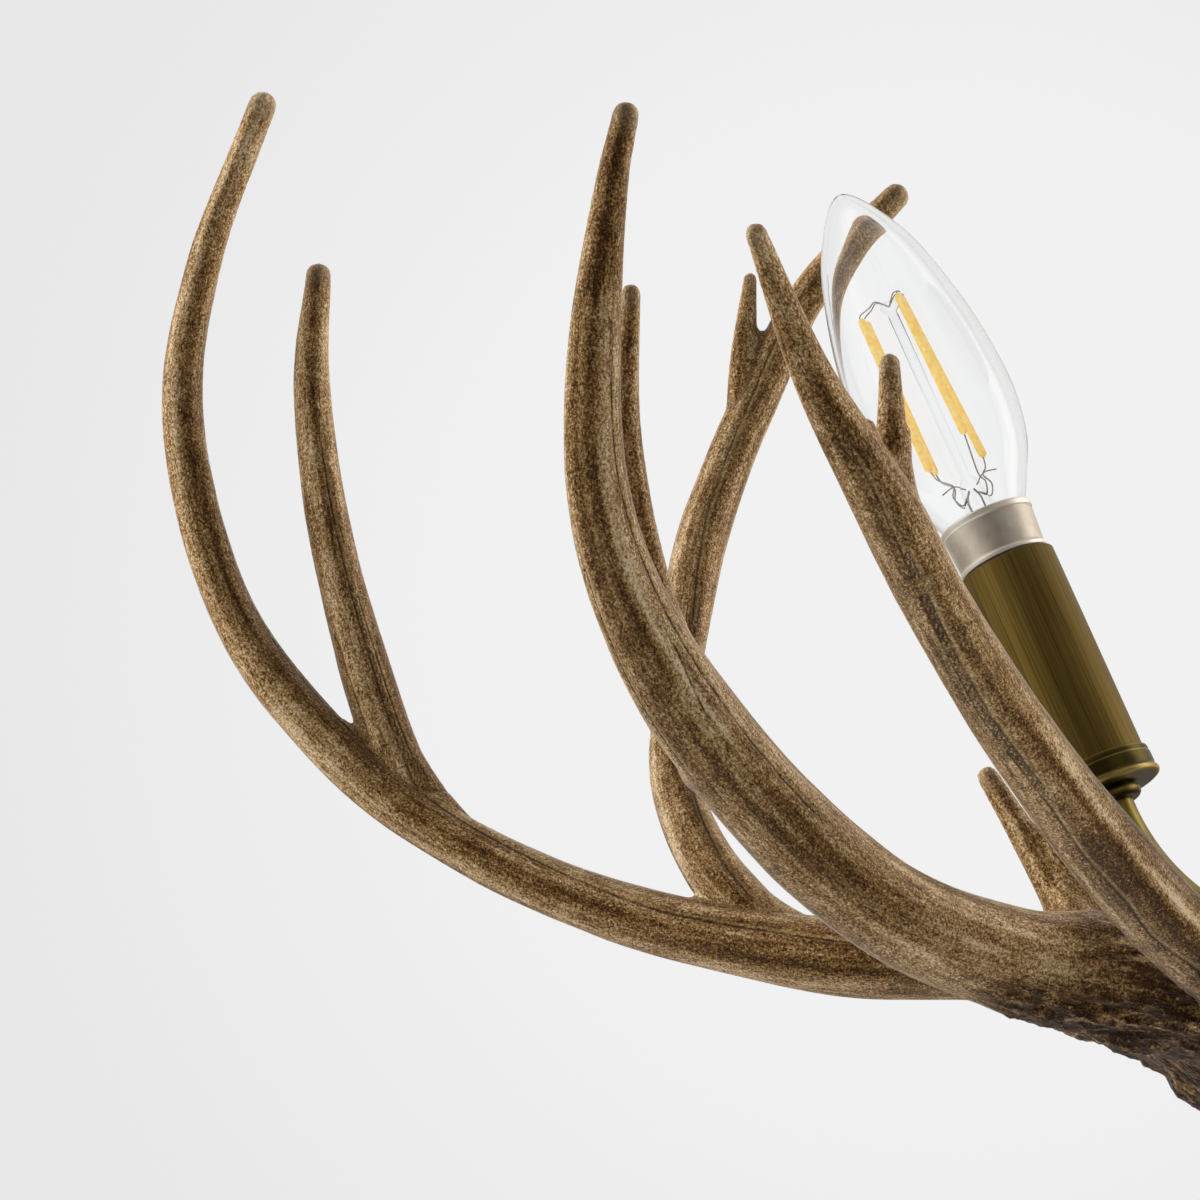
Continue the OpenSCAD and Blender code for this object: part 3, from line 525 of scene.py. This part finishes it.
BROAD = {
    "beam": [
        [-48, -27, -2, 12.5], [-62, -34, 3, 13.2], [-82, -43, 8.8, 13.2], [-102, -53, 12.2, 13],
        [-120, -62, 14, 10.8], [-144, -79, 21, 9.9], [-165, -95, 35, 9.4], [-184.6, -112, 55, 8.9],
        [-198, -125, 76, 7.4], [-204.6, -136, 98, 6.1], [-205, -145, 125, 5.2], [-202, -152, 152, 3.4],
        [-199, -154, 167, 2.6]],
    "tines": [
        [[-182, -105, 48, 7], [-190, -108, 68, 5], [-196, -116, 90, 3.9], [-199, -124, 112, 3],
         [-198, -130, 137, 2]],
        [[-104, -46, 16, 9], [-108, -39, 28, 5], [-116, -34, 43, 3.2], [-123.5, -30, 56.5, 2.2]]],
    "webs": [
        ([-184, -109, 60], [-195, -115, 87], [-197, -124, 84], 2.8),
        ([-105, -46, 20], [-109, -39, 32], [-116, -54, 21], 3),
        ([-104, -44, 18], [-111.5, -35, 46], [-80, -44, 17], 3)],
    "grooves": [
        (0, [(150, 0.6), (184, 0.69), (211, 0.77), (250, 0.65)]),
        (0, [(180, 0.25), (184, 0.33), (192, 0.5)]),
        (0, [(172, -0.86), (190, -0.9), (212, -0.88)])],
    "streaks": [
        (0, -0.9, 0.6, [(74, 0.1), (106, 0.1)]),
        (0, 0.7, 1.0, [(262, 0), (330, 0)]),
        (0, 1.2, 0.36, [(118, -0.05), (140, -0.18), (169, -0.5), (182, -0.55), (202, -0.24), (245, -0.3),
                        (290, -0.1)]),
        # Pale streaks on the right: a painted highlight along the ridge and the lit flank, and painted rim
        # light at the edge.
        (0, -2.0, 0.17, [(176, 0.3), (195, 0.42), (215, 0.4), (250, 0.36)]),
        (0, -3.0, 0.06, [(190, 0.36), (205, 0.3), (212, 0.26)]),
        (0, -0.7, 0.3, [(170, 0.8), (250, 0.8)]),
        (1, 0.8, 0.4, [(10, 0), (90, 0)])],
    "side": [-0.53, 0.85, 0],
    "crease": None,
    "burr": 77,
}
FORKED = {
    "beam": [
        [-28, -52, -4, 9.5], [-42, -61, -1, 11], [-61, -73, 4, 10.5], [-85, -89, 13, 8.5],
        [-105.6, -118, 28.5, 7.8], [-124.3, -148, 47, 7.1], [-140, -174, 66, 6.4], [-151, -191, 83, 6.2],
        [-165, -206, 105, 3.8], [-175.5, -217, 129, 2.1]],
    "tines": [
        [[-145, -183, 72, 5.2], [-148.4, -186, 83, 4.6], [-149.3, -187, 90, 3.9], [-149.6, -187, 99, 2.9],
         [-149.9, -187, 111, 2.1]]],
    "webs": [
        ([-148, -186, 80], [-149, -187, 98], [-156.5, -197, 97], 3.2),
        ([-146, -184, 75], [-149, -187, 88], [-140, -175, 68], 3)],
    "grooves": [
        (0, [(50, -0.4), (68, -0.52), (78, -0.44), (90, -0.56), (102, -0.46), (120, -0.54), (134, -0.46),
             (149, -0.52), (163, -0.64), (179, -0.54), (200, -0.3), (222, -0.12)]),
        (0, [(142, -0.3), (163, -0.4), (179, -0.32), (200, -0.08)])],
    "streaks": [
        (0, 0.9, 0.3, [(120, -0.2), (150, -0.1), (200, 0.1), (262, 0)]),
        (0, 1.2, 1.6, [(0, 0), (110, 0)]),
        # Pale streaks: a painted highlight down the right flank, lit from the right, and painted rim light on
        # the left edge.
        (0, -4.2, 0.13, [(30, 0.44), (60, 0.42), (88, 0.46)]),
        (0, -0.9, 0.35, [(30, -0.9), (120, -0.85)]),
        (0, -1.4, 0.2, [(100, 0.62), (130, 0.6)]),
        (0, -0.7, 0.3, [(140, 0.65), (190, 0.6)]),
        (1, 0.8, 0.5, [(5, 0), (35, 0)])],
    "side": [-0.77, 0.64, 0],
    "crease": None,
    "burr": 70,
}


def cap_of(last, before):
    """The points that round off a strand past its last one."""
    way = last[:3] - before[:3]
    way /= np.linalg.norm(way)
    angles = np.radians([15, 30, 45, 60, 72, 82, 88])
    return [np.append(last[:3] + way * last[3] * math.sin(a), last[3] * math.cos(a)) for a in angles]


def domed(strand, both=False):
    """The strand with a rounded tip, and a rounded root where it starts inside another."""
    root = cap_of(strand[0], strand[1])[::-1] if both else []
    return np.array([*root, *strand, *cap_of(strand[-1], strand[-2])])


def web_strands(root, up, along, size, bars=12):
    """The thin web in a crotch, as a fan of straight bars whose edge curves from the tine to the beam."""
    root, up, along = (np.array(p, float) for p in (root, up, along))
    fan = []
    for i in range(bars):
        a = root + (up - root) * (i + 1) / bars
        b = root + (along - root) * (1 - i / bars)
        fan.append(np.array([np.append(a + (b - a) * t, size) for t in np.linspace(0, 1, 6)]))
    return fan


def wander(place, scale, seed, waves=10):
    """A smooth random height between about -1 and 1, with the given wavelength."""
    rng = np.random.default_rng(seed)
    ways = rng.normal(size=(waves, 3))
    ways /= np.linalg.norm(ways, axis=1)[:, None]
    rates = 2 * math.pi / scale * rng.uniform(0.7, 1.4, waves)
    phases = rng.uniform(0, 2 * math.pi, waves)
    return np.sin(place @ (ways * rates[:, None]).T + phases).sum(1) / math.sqrt(waves)


def relaxed(co, edges, weight, rounds):
    """Smooths vertices towards their neighbours without shrinking the form, as far as weight says."""
    count = np.bincount(edges.ravel(), minlength=len(co)).astype(float)
    for k in range(2 * rounds):
        total = np.zeros_like(co)
        for axis in range(3):
            for here, there in ((0, 1), (1, 0)):
                total[:, axis] += np.bincount(edges[:, here], co[edges[:, there], axis], len(co))
        factor = 0.6 if k % 2 == 0 else -0.62
        co = co + factor * weight[:, None] * (total / count[:, None] - co)
    return co


def edge_array(mesh):
    """The two vertices of every edge."""
    edges = np.empty(len(mesh.edges) * 2, np.int64)
    mesh.edges.foreach_get("vertices", edges)
    return edges.reshape(-1, 2)


def get_co(mesh):
    """The vertices' places, in metres."""
    co = np.empty(len(mesh.vertices) * 3)
    mesh.vertices.foreach_get("co", co)
    return co.reshape(-1, 3)


def strand_frames(strand, side):
    """Each sample's heading and the two directions across it."""
    way = np.gradient(strand[:, :3], axis=0)
    way /= np.linalg.norm(way, axis=1)[:, None]
    across = np.cross(side, way)
    across /= np.linalg.norm(across, axis=1)[:, None]
    return way, across, np.cross(way, across)


# Where the places of grooves and streaks are measured from.
FRONT = np.array((0, -0.985, -0.174))


def across_place(marks, along, turn):
    """The angle round the strand from a mark to each vertex, and how far past the mark's ends it lies."""
    s, f = np.array(marks, float).T
    past = np.clip(s[0] - along, 0, None) + np.clip(along - s[-1], 0, None)
    return turn - np.arcsin(np.interp(along, s, f)), past


def set_co(mesh, co):
    """Gives the mesh its vertices' places, which are in millimetres."""
    mesh.vertices.foreach_set("co", (co * MM).ravel())
    mesh.update()


# In millimetres: the sweep's step, how far a crotch's easing reaches, the distance that stands for no groove,
# and the jump in the flow from one strand to the next. Vertices are measured so many at a time.
SWEEP_STEP = 0.8
SWEEP_SIDES = 40
CURVE_STEPS = 24
CROTCH_REACH = 7
NO_GROOVE = 9
FLOW_JUMP = 400
AT_A_TIME = 20000
NOWHERE = 1e9


def growth_of(co, curves, side):
    """Where each vertex lies: the strand that owns it and its rival, how far along the strand and from its
    tip, which way round it, and the flow, which is that place as a vector."""
    count = len(co)
    at = {name: np.zeros(count) for name in ("along", "left", "turn", "size")}
    at.update({name: np.zeros(count, int) for name in ("owner", "rival")})
    at.update({name: np.full(count, NOWHERE) for name in ("best", "second")})
    at["flow"] = np.zeros((count, 3))
    for number, strand in enumerate(curves):
        way, across, over = strand_frames(strand, side)
        steps = np.linalg.norm(np.diff(strand[:, :3], axis=0), axis=1)
        length = np.concatenate([[0], np.cumsum(steps)])
        for start in range(0, count, AT_A_TIME):
            part = slice(start, start + AT_A_TIME)
            gap = np.linalg.norm(co[part, None] - strand[None, :, :3], axis=2) - strand[None, :, 3]
            k = gap.argmin(1)
            least = gap[np.arange(len(k)), k]
            off = co[part] - strand[k, :3]
            s = length[k] + (off * way[k]).sum(1)
            x, y = (off * across[k]).sum(1), (off * over[k]).sum(1)
            ahead = np.arctan2(y, x) - np.arctan2(over[k] @ FRONT, across[k] @ FRONT)
            wins = least < at["best"][part]
            beaten = np.where(least < at["second"][part], number, at["rival"][part])
            at["rival"][part] = np.where(wins, at["owner"][part], beaten)
            at["second"][part] = np.where(wins, at["best"][part], np.minimum(at["second"][part], least))
            found = {
                "best": least, "owner": number, "along": s, "left": length[-1] - s, "size": strand[k, 3],
                "turn": (ahead + math.pi) % (2 * math.pi) - math.pi}
            for name, value in found.items():
                at[name][part] = np.where(wins, value, at[name][part])
            place = np.stack([s + FLOW_JUMP * number, x, y], 1)
            at["flow"][part] = np.where(wins[:, None], place, at["flow"][part])
    at["crotch"] = np.clip(1 - (at["second"] - at["best"]) / CROTCH_REACH, 0, 1)
    return at


def groove_lines(mould, at):
    """Signed distances in millimetres to the two nearest grooves, and the streaks' darkness."""
    owner, rival, along, turn = at["owner"], at["rival"], at["along"], at["turn"]
    lines = np.zeros((len(owner), 3))
    lines[:, :2] = NO_GROOVE
    for number, marks in mould["grooves"]:
        angle, past = across_place(marks, along, turn)
        reach = np.hypot(angle * at["size"], 0.2 * past) * np.where(angle < 0, -1, 1)
        reach[owner != number] = NO_GROOVE
        first = np.abs(reach) < np.abs(lines[:, 0])
        second = np.abs(reach) < np.abs(lines[:, 1])
        lines[:, 1] = np.where(first, lines[:, 0], np.where(second, reach, lines[:, 1]))
        lines[:, 0] = np.where(first, reach, lines[:, 0])
    if mould["crease"]:
        low, high, start = mould["crease"]
        pair = (np.minimum(owner, rival) == low) & (np.maximum(owner, rival) == high)
        near = (owner > 0) | (along > start)
        faces_front = np.cos(turn) > 0
        valley = np.where(pair & near & faces_front, 0.6 * (at["second"] - at["best"]), NO_GROOVE)
        lines[:, 1] = np.where(valley < np.abs(lines[:, 1]), valley, lines[:, 1])
    for number, darkness, width, marks in mould["streaks"]:
        angle, past = across_place(marks, along, turn)
        lines[:, 2] += (owner == number) * darkness * np.exp(-(angle / width) ** 2 - (past / 15) ** 2)
    return lines


def burr_share(mould, at, normal, seed):
    """How barky each vertex is, from 0 to 1. Bark reaches further out underneath, and its edge wanders."""
    under = np.clip(-normal[:, 2], 0, 1)
    edge = mould["burr"] + 16 * under + 9 * wander(at["flow"] * [0.3, 1, 1], 12, seed + 5)
    return np.where(at["owner"] == 0, np.clip((edge - at["along"]) / 26, 0, 1), 0)


def surface_height(co, at, lines, burr, seed):
    """How far each vertex moves out, in millimetres: lumps, fine lines along the growth, bark and grooves."""
    flow = at["flow"]
    lump = 0.12 * wander(co, 40, seed) + 0.03 * wander(co, 14, seed + 1)
    calm = np.clip(at["size"] / 8, 0.3, 1) * (1 - at["crotch"])
    fine = 0.07 * wander(flow * [0.05, 1, 1], 3.6, seed + 2) * calm
    bark = 1.2 * np.abs(wander(flow * [0.35, 1, 1], 9, seed + 3)) - 1.1
    bark += 0.7 * np.abs(wander(flow * [0.45, 1, 1], 4.5, seed + 4))
    bark += 0.35 * np.abs(wander(flow * [0.8, 1, 1], 2.6, seed + 6))
    cuts = -0.22 * np.exp(-(lines[:, 0] / 0.7) ** 2) - 0.2 * np.exp(-(lines[:, 1] / 0.7) ** 2)
    ridge = 0.16 * np.exp(-((lines[:, 0] - 1.5) / 1.0) ** 2)
    return lump + fine + burr * bark + cuts + ridge


def antler_mesh(name, mould, voxel, seed):
    """One mould's antler: swept strands fused to one skin, its crotches eased and its surface cut."""
    curves = [catmull(p, CURVE_STEPS) for p in [mould["beam"], *mould["tines"]]]
    strands = [domed(c, n > 0) for n, c in enumerate(curves)]
    fans = [s for web in mould["webs"] for s in web_strands(*web)]
    thing = strand_object(name, strands + fans, SWEEP_STEP, SWEEP_SIDES, RESIN)
    fuse = thing.modifiers.new("fuse", "REMESH")
    fuse.mode = "VOXEL"
    fuse.voxel_size = voxel * MM
    mesh = plain_mesh(thing)
    bpy.data.objects.remove(thing)
    co = get_co(mesh) / MM
    edges = edge_array(mesh)
    at = growth_of(co, curves, np.array(mould["side"], float))
    co = relaxed(co, edges, np.ones(len(co)), 6)
    co = relaxed(co, edges, at["crotch"], 18)
    lines = groove_lines(mould, at)

    set_co(mesh, co)
    normal = np.empty(len(co) * 3)
    mesh.vertex_normals.foreach_get("vector", normal)
    normal = normal.reshape(-1, 3)
    burr = burr_share(mould, at, normal, seed)
    set_co(mesh, co + normal * surface_height(co, at, lines, burr, seed)[:, None])

    for title, values in (("flow", at["flow"]), ("lines", lines)):
        mesh.attributes.new(title, "FLOAT_VECTOR", "POINT").data.foreach_set("vector", values.ravel())
    for title, values in (("burr", burr), ("tip", np.clip(1 - at["left"] / 5, 0, 1) * 0.3)):
        mesh.attributes.new(title, "FLOAT", "POINT").data.foreach_set("value", values)
    mesh.polygons.foreach_set("use_smooth", [True] * len(mesh.polygons))
    mesh.update()
    return mesh


def placed_copy(mesh, matrix, name):
    """The same mesh again, moved by the matrix."""
    copy = mesh.copy()
    copy.name = name
    copy.transform(matrix)
    return copy


VOXEL = 0.8
BROAD_TURN = 63
for family, mould, turns, seed in (
    ("long", LONG, (0, 180), 3),
    ("broad", BROAD, (0, BROAD_TURN, 180, 180 + BROAD_TURN), 5),
    ("forked", FORKED, (0, 180), 8),
):
    cast = antler_mesh(family + "_cast", mould, VOXEL, seed)
    for number, turn in enumerate(turns, 1):
        node = "%s_antler_%d" % (family, number)
        mesh = placed_copy(cast, hub_place(turn), node + "_skin")
        piece(node + "_skin", mesh, "fixture", [node], RESIN)

# Lamps: millimetres along the candle, from the cup's underside. The glass's shape is [height, width], as
# shares of its height and of its greatest radius.
GLASS_SHAPE = [
    [0, 0.54], [0.07, 0.70], [0.16, 0.89], [0.265, 0.985], [0.37, 1], [0.53, 0.93],
    [0.68, 0.79], [0.81, 0.615], [0.91, 0.385], [0.97, 0.2], [0.993, 0.08],
]
GLASS_WALL = 0.8
GLASS_FOOT = COLLAR_TOP - 4.5
GLASS_STEPS = 6
TIP_R = 0.15
# How finely the lamp's pieces are made: sides round, steps along in millimetres, the angle in degrees above
# which the glass keeps a crisp edge, and the bevel in millimetres on the collar's edges.
METAL_SIDES = 128
MOUNT_SIDES = 40
GLASS_CRISP = 60
STICK_STEP = 0.5
STICK_SIDES = 16
LEAD_STEP = 0.4
LEAD_SIDES = 8
EDGE_BREAK = 0.12


def glass_side(wall):
    """The glass's outline, from its foot almost to its tip, this far inside its skin."""
    side = []
    for h, w in catmull(GLASS_SHAPE, GLASS_STEPS):
        side.append([max(w * GLASS_R - wall, TIP_R), COLLAR_TOP + h * GLASS_H - wall * h])
    return side


def glass_profile():
    """The bulb's wall: up the outside, over the tip and down the inside."""
    outside, inside = glass_side(0), glass_side(GLASS_WALL)
    top = [[0, COLLAR_TOP + GLASS_H], [0, COLLAR_TOP + GLASS_H - GLASS_WALL]]
    return [[outside[0][0], GLASS_FOOT], *outside, *top, *inside[::-1], [inside[0][0], GLASS_FOOT]]


# The four filaments, each [x, y, height] above the collar at its lower and at its upper end.
FILAMENTS = [
    ((-5.2, -1.5, 14), (-3, -1.3, 53.7)), ((-4.0, 2.6, 19.4), (-3, 1.3, 53.7)),
    ((6.2, -1.5, 15.1), (6.4, -1.4, 52)), ((6.4, 3, 15.1), (6.6, 2, 52)),
]
FILAMENT_R = 0.95
FOOT_WIRE_R = 0.17
HEAD_WIRE_R = 0.15
STEM_WIRE_R = 0.24
PRESS_H = 9
KNOB_H = 53


def stick(a, b, size):
    """A straight strand with rounded ends."""
    line = [np.append(a + (b - a) * t, size) for t in np.linspace(0, 1, 12)]
    way = (b - a) / np.linalg.norm(b - a)
    rounding = np.radians([20, 40, 65, 85])
    start = [np.append(a - way * size * math.sin(q), size * math.cos(q)) for q in rounding[::-1]]
    end = [np.append(b + way * size * math.sin(q), size * math.cos(q)) for q in rounding]
    return np.array(start + line + end)


def wire(points, size, steps=6):
    """A bent wire through points above the collar."""
    return catmull([[x, y, COLLAR_TOP + h, size] for x, y, h in points], steps)


def above_collar(x, y, h):
    """A point off the candle's axis by x and y, and above the collar by h."""
    return np.array((x, y, COLLAR_TOP + h), float)


STICKS = [stick(above_collar(*low), above_collar(*high), FILAMENT_R) for low, high in FILAMENTS]
# Lead wires: bent up out of the press to each filament's foot, and from the knob to its head.
LEADS = []
for low, high in FILAMENTS:
    out = np.array(low[:2]) / np.hypot(*low[:2])
    top = np.array(high[:2]) / np.hypot(*high[:2])
    LEADS.append(wire([
        (*(out * 1.5), PRESS_H - 3), (*(out * 3.4), PRESS_H - 4.5), (*(out * 4.6), PRESS_H - 2),
        (*(out * 3.6), PRESS_H + 0.5), (low[0] * 0.9, low[1] * 0.8, low[2] - 3),
        (low[0], low[1], low[2] + 0.5)], FOOT_WIRE_R))
    LEADS.append(wire([
        (0, 0, KNOB_H), (*(top * 2.4), KNOB_H + 2.2), (*(top * 4.2), KNOB_H + 1.4),
        (high[0], high[1], high[2] + 1.4), (high[0], high[1], high[2] - 0.5)], HEAD_WIRE_R))
# At each side, a short bracing wire and the thicker lead that goes down through the press.
for side in (-1, 1):
    LEADS.append(wire([
        (side * 1.2, -0.8, PRESS_H - 1), (side * 3.6, -2.2, PRESS_H + 1.2), (side * 6.6, -1.2, PRESS_H + 0.4),
    ], HEAD_WIRE_R))
    LEADS.append(wire([
        (side * 0.6, 0.8, PRESS_H - 2), (side * 1.6, 2.6, PRESS_H - 5), (side * 1.2, 1.6, -2)], STEM_WIRE_R))

PRESS_TOP = COLLAR_TOP + PRESS_H
KNOB = COLLAR_TOP + KNOB_H
MOUNT_PROFILE = [
    [0, COLLAR_TOP - 6], [5.8, COLLAR_TOP - 6], [5.8, COLLAR_TOP - 5], [4, COLLAR_TOP], [2.8, PRESS_TOP - 4],
    [2.4, PRESS_TOP - 1], [1.9, PRESS_TOP + 0.4], [1.15, PRESS_TOP + 1.4], [1.15, KNOB - 1.5],
    [1.9, KNOB - 0.8], [2.1, KNOB], [1.7, KNOB + 0.8], [0.8, KNOB + 1.2], [0, KNOB + 1.3],
]
COLLAR_R = 10.7
BEAD_R = COLLAR_R - 0.9
CAP_R = 6.9
# The third number of a profile point marks a polished edge that also carries a painted highlight line.
COLLAR_PROFILE = [
    [0, 22.3], [2.5, 22.3], [3, 23.8], [CAP_R - 0.8, 26.3], [CAP_R, 27.3], [CAP_R, SLEEVE_TOP - 4],
    [BEAD_R - 0.7, SLEEVE_TOP - 3], [BEAD_R - 0.3, SLEEVE_TOP - 2.4], [BEAD_R - 0.3, SLEEVE_TOP + 0.4],
    [BEAD_R + 0.25, SLEEVE_TOP + 0.8, 1], [BEAD_R + 0.4, SLEEVE_TOP + 1.4, 1],
    [BEAD_R + 0.1, SLEEVE_TOP + 1.9], [BEAD_R + 0.05, SLEEVE_TOP + 2.3],
    [COLLAR_R - 0.35, COLLAR_TOP - 2.2], [COLLAR_R - 0.45, COLLAR_TOP - 1.8],
    [COLLAR_R - 0.1, COLLAR_TOP - 1.4, 0.6], [COLLAR_R, COLLAR_TOP - 0.9, 1], [COLLAR_R, COLLAR_TOP - 0.3, 1],
    [COLLAR_R - 0.3, COLLAR_TOP, 1], [COLLAR_R - 1, COLLAR_TOP], [COLLAR_R - 1, COLLAR_TOP - 5],
    [CAP_R - 1, COLLAR_TOP - 6], [CAP_R - 1, 27.3], [0, 26.3],
]
SLEEVE_PROFILE = [
    [10.2, 1.2], [10.95, 1.2], [10.95, SLEEVE_TOP - 0.25], [10.8, SLEEVE_TOP], [10.35, SLEEVE_TOP],
    [10.2, SLEEVE_TOP - 0.25],
]
CUP_PROFILE = [
    [4.3, 0], [10.9, 0], [11.5, 0.1, 0.3], [12.05, 0.35, 1], [12.3, 0.8, 1], [12.25, 1.25, 0.4], [11.9, 1.6],
    [11.75, 2.1], [11.75, 2.3], [11.85, 2.6], [11.85, 4.6], [11.8, 5.0, 0.5], [11.6, 5.2], [11.6, 5.5],
    [11.75, 5.8], [11.65, 6.3, 0.2], [11.35, 6.6, 0.3], [11.05, 6.5], [11.0, 6.2], [11.0, 1.2], [4.3, 1.2],
]
RING_PROFILE = [
    [4.3, -3.1], [5.2, -3.1], [6.1, -2.8], [6.6, -2.3], [6.8, -1.7, 0.2], [6.8, -1.3, 1], [6.6, -0.8, 1],
    [6.0, -0.45, 0.3], [5.3, -0.35], [5.2, 0], [4.3, 0],
]

for i in LIGHTS:
    n = i + 1
    body = "bulb_%d" % n
    place = candle_place(i)
    glass = to_mesh("lamp_glass_%d" % n, turned(glass_profile()), place, sharp=GLASS_CRISP)
    piece("lamp_glass_%d" % n, glass, body, ["bulb_glass_%d" % n], GLASS)
    mount = to_mesh("lamp_mount_%d" % n, turned(MOUNT_PROFILE, MOUNT_SIDES), place, sharp=GLASS_CRISP)
    piece("lamp_mount_%d" % n, mount, body, ["bulb_filament_%d" % n], MOUNT_GLASS)
    sticks = swept("lamp_sticks_%d" % n, STICKS, STICK_STEP, STICK_SIDES, PHOSPHOR)
    sticks.transform(place)
    piece("lamp_sticks_%d" % n, sticks, body, ["bulb_filament_%d" % n], PHOSPHOR)
    leads = swept("lamp_leads_%d" % n, LEADS, LEAD_STEP, LEAD_SIDES, WIRE)
    leads.transform(place)
    piece("lamp_leads_%d" % n, leads, body, ["bulb_filament_%d" % n], WIRE)
    shell = to_mesh("lamp_collar_%d" % n, turned(COLLAR_PROFILE, METAL_SIDES), place)
    shell = softened(shell, EDGE_BREAK)
    piece("lamp_collar_%d" % n, shell, body, ["bulb_base_%d" % n], NICKEL)
    sleeve = to_mesh("sleeve_%d" % n, turned(SLEEVE_PROFILE, METAL_SIDES))
    brushed_along = (get_co(sleeve) / MM).ravel()
    sleeve.attributes.new("flow", "FLOAT_VECTOR", "POINT").data.foreach_set("vector", brushed_along)
    sleeve.transform(place)
    piece("sleeve_%d" % n, sleeve, "fixture", ["candle_sleeve_%d" % n], BRUSHED)
    cup = to_mesh("cup_%d" % n, turned(CUP_PROFILE, METAL_SIDES), place)
    piece("cup_%d" % n, cup, "fixture", ["candle_cup_%d" % n], DARK_BRONZE)
    ring = to_mesh("ring_%d" % n, turned(RING_PROFILE), place)
    piece("ring_%d" % n, ring, "fixture", ["neck_ring_%d" % n], DARK_BRONZE)

# The rest shows the CAD solids, with these finishes.
for material, names in (
    (DARK_BRONZE, ["hub_cap", "hub_body", "canopy", "stem_collar", "antler_plate"]),
    (BRASS, ["stem", "spacer", "finial", "antler_screws", "cap_nut_1", "cap_nut_2"]),
    (BRASS, ["arm_%d" % (i + 1) for i in LIGHTS]),
    (ZINC, ["mounting_bracket", "canopy_studs", "stem_nut", "rod_nut", "threaded_rod"]),
    (GREEN, ["ground_screw"]),
    (NYLON, ["terminal_block"]),
    (SHEATH, ["wiring"]),
    (PHENOLIC, ["lamp_holder_%d" % (i + 1) for i in LIGHTS]),
):
    for name in names:
        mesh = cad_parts[name].data
        mesh.materials.clear()
        mesh.materials.append(material)

# Room: a plain pale floor far below, a pale world, and four soft lamps.
FLOOR_LEVEL = -2.4
FLOOR_HALF = 40
corners = [(x * FLOOR_HALF, y * FLOOR_HALF, FLOOR_LEVEL) for x, y in ((-1, -1), (1, -1), (1, 1), (-1, 1))]
floor_mesh = bpy.data.meshes.new("floor")
floor_mesh.from_pydata(corners, [], [(0, 1, 2, 3)])
floor = bpy.data.objects.new("floor", floor_mesh)
bpy.context.scene.collection.objects.link(floor)
floor_material, floor_tree, floor_shader = finish_named(
    "matt_paint_floor", roughness=0.9, base_color=linear("#ececea"), emission_color=linear("#f4f4f3"))
# Only the camera and the glass see the floor's own glow, so that it doesn't light or film the metal.
floor_path = add(floor_tree, "ShaderNodeLightPath").outputs
floor_seen = maths(floor_tree, "MAXIMUM", floor_path["Is Camera Ray"], floor_path["Is Transmission Ray"])
floor_glow = maths(floor_tree, "MULTIPLY", floor_seen, 0.5)
floor_tree.links.new(floor_glow, floor_shader.inputs["Emission Strength"])
floor_mesh.materials.append(floor_material)

# The world is a studio: a pale backdrop, brightest behind the middle of the picture. Reflections see it
# bright behind and dim in front, with soft tall strips of light: (bearing, half width, brightness), where the
# first two are in degrees.
BACKDROP_MIDDLE = (0.05, 0.984, 0.171)
STRIPS = ((-105, 24, 1.6), (146, 14, 0.6), (84, 26, 2.6))
DIFFUSE_LIGHT = 0.24
world = bpy.data.worlds.new("room")
bpy.context.scene.world = world
world.use_nodes = True
tree = world.node_tree
tree.nodes.clear()


def backdrop_light(colour, strength):
    return add(tree, "ShaderNodeBackground", {"Color": colour, "Strength": strength}).outputs[0]


def mixed(share, base, over):
    return add(tree, "ShaderNodeMixShader", {0: share, 1: base, 2: over}).outputs[0]


path = add(tree, "ShaderNodeLightPath").outputs
heading = add(tree, "ShaderNodeTexCoord").outputs["Generated"]
way = parts_of(tree, heading)
fall = add(tree, "ShaderNodeVectorMath", {0: heading, 1: BACKDROP_MIDDLE}, operation="DISTANCE")
fall = span(tree, fall.outputs["Value"], (0.05, 0.15), interpolation_type="SMOOTHSTEP")
shown = graded(tree, fall, [(0.0, "#f1f1f1"), (1.0, "#e8e8e9")])
bearing = maths(tree, "ARCTAN2", way[0], way[1])
bright = span(tree, way[1], (-0.7, 0.3), (0.12, 0.85), interpolation_type="SMOOTHSTEP")
for strip_bearing, half_width, power in STRIPS:
    off = maths(tree, "ABSOLUTE", maths(tree, "ADD", bearing, -math.radians(strip_bearing)))
    strip = span(tree, off, (0.0, math.radians(half_width)), (power, 0.0), interpolation_type="SMOOTHSTEP")
    bright = maths(tree, "ADD", bright, strip)
lit = backdrop_light(linear("#f6f3ee"), DIFFUSE_LIGHT)
mirrored = backdrop_light(linear("#f7f0e8"), bright)
# The backdrop is a little brighter through the glass, which would darken it.
backdrop = backdrop_light(shown, maths(tree, "MULTIPLY_ADD", path["Is Transmission Ray"], 0.03, 1.0))
through = maths(tree, "MAXIMUM", path["Is Camera Ray"], path["Is Transmission Ray"])
room = mixed(through, mixed(path["Is Glossy Ray"], lit, mirrored), backdrop)
add(tree, "ShaderNodeOutputWorld", {0: room})

MIDDLE = Vector((-0.1, 0, -0.17))


def lamp(name, place, size, power):
    """A soft square lamp, aimed at the middle of the light. Reflections show the world's strips instead."""
    data = bpy.data.lights.new(name, "AREA")
    data.shape = "SQUARE"
    data.size = size
    data.energy = power
    thing = bpy.data.objects.new(name, data)
    bpy.context.scene.collection.objects.link(thing)
    thing.location = place
    thing.rotation_euler = (MIDDLE - Vector(place)).to_track_quat("-Z", "Y").to_euler()
    thing.visible_glossy = False
    thing.visible_transmission = False


lamp("left lamp", (-2.5, 0.5, 1.0), 1.6, 165)
lamp("right lamp", (2.5, 0.5, 0.8), 1.6, 130)
lamp("low back lamp", (-0.3, 1.2, -2.0), 1.6, 20)
lamp("front lamp", (0.2, -2.6, 0.9), 1.2, 14)
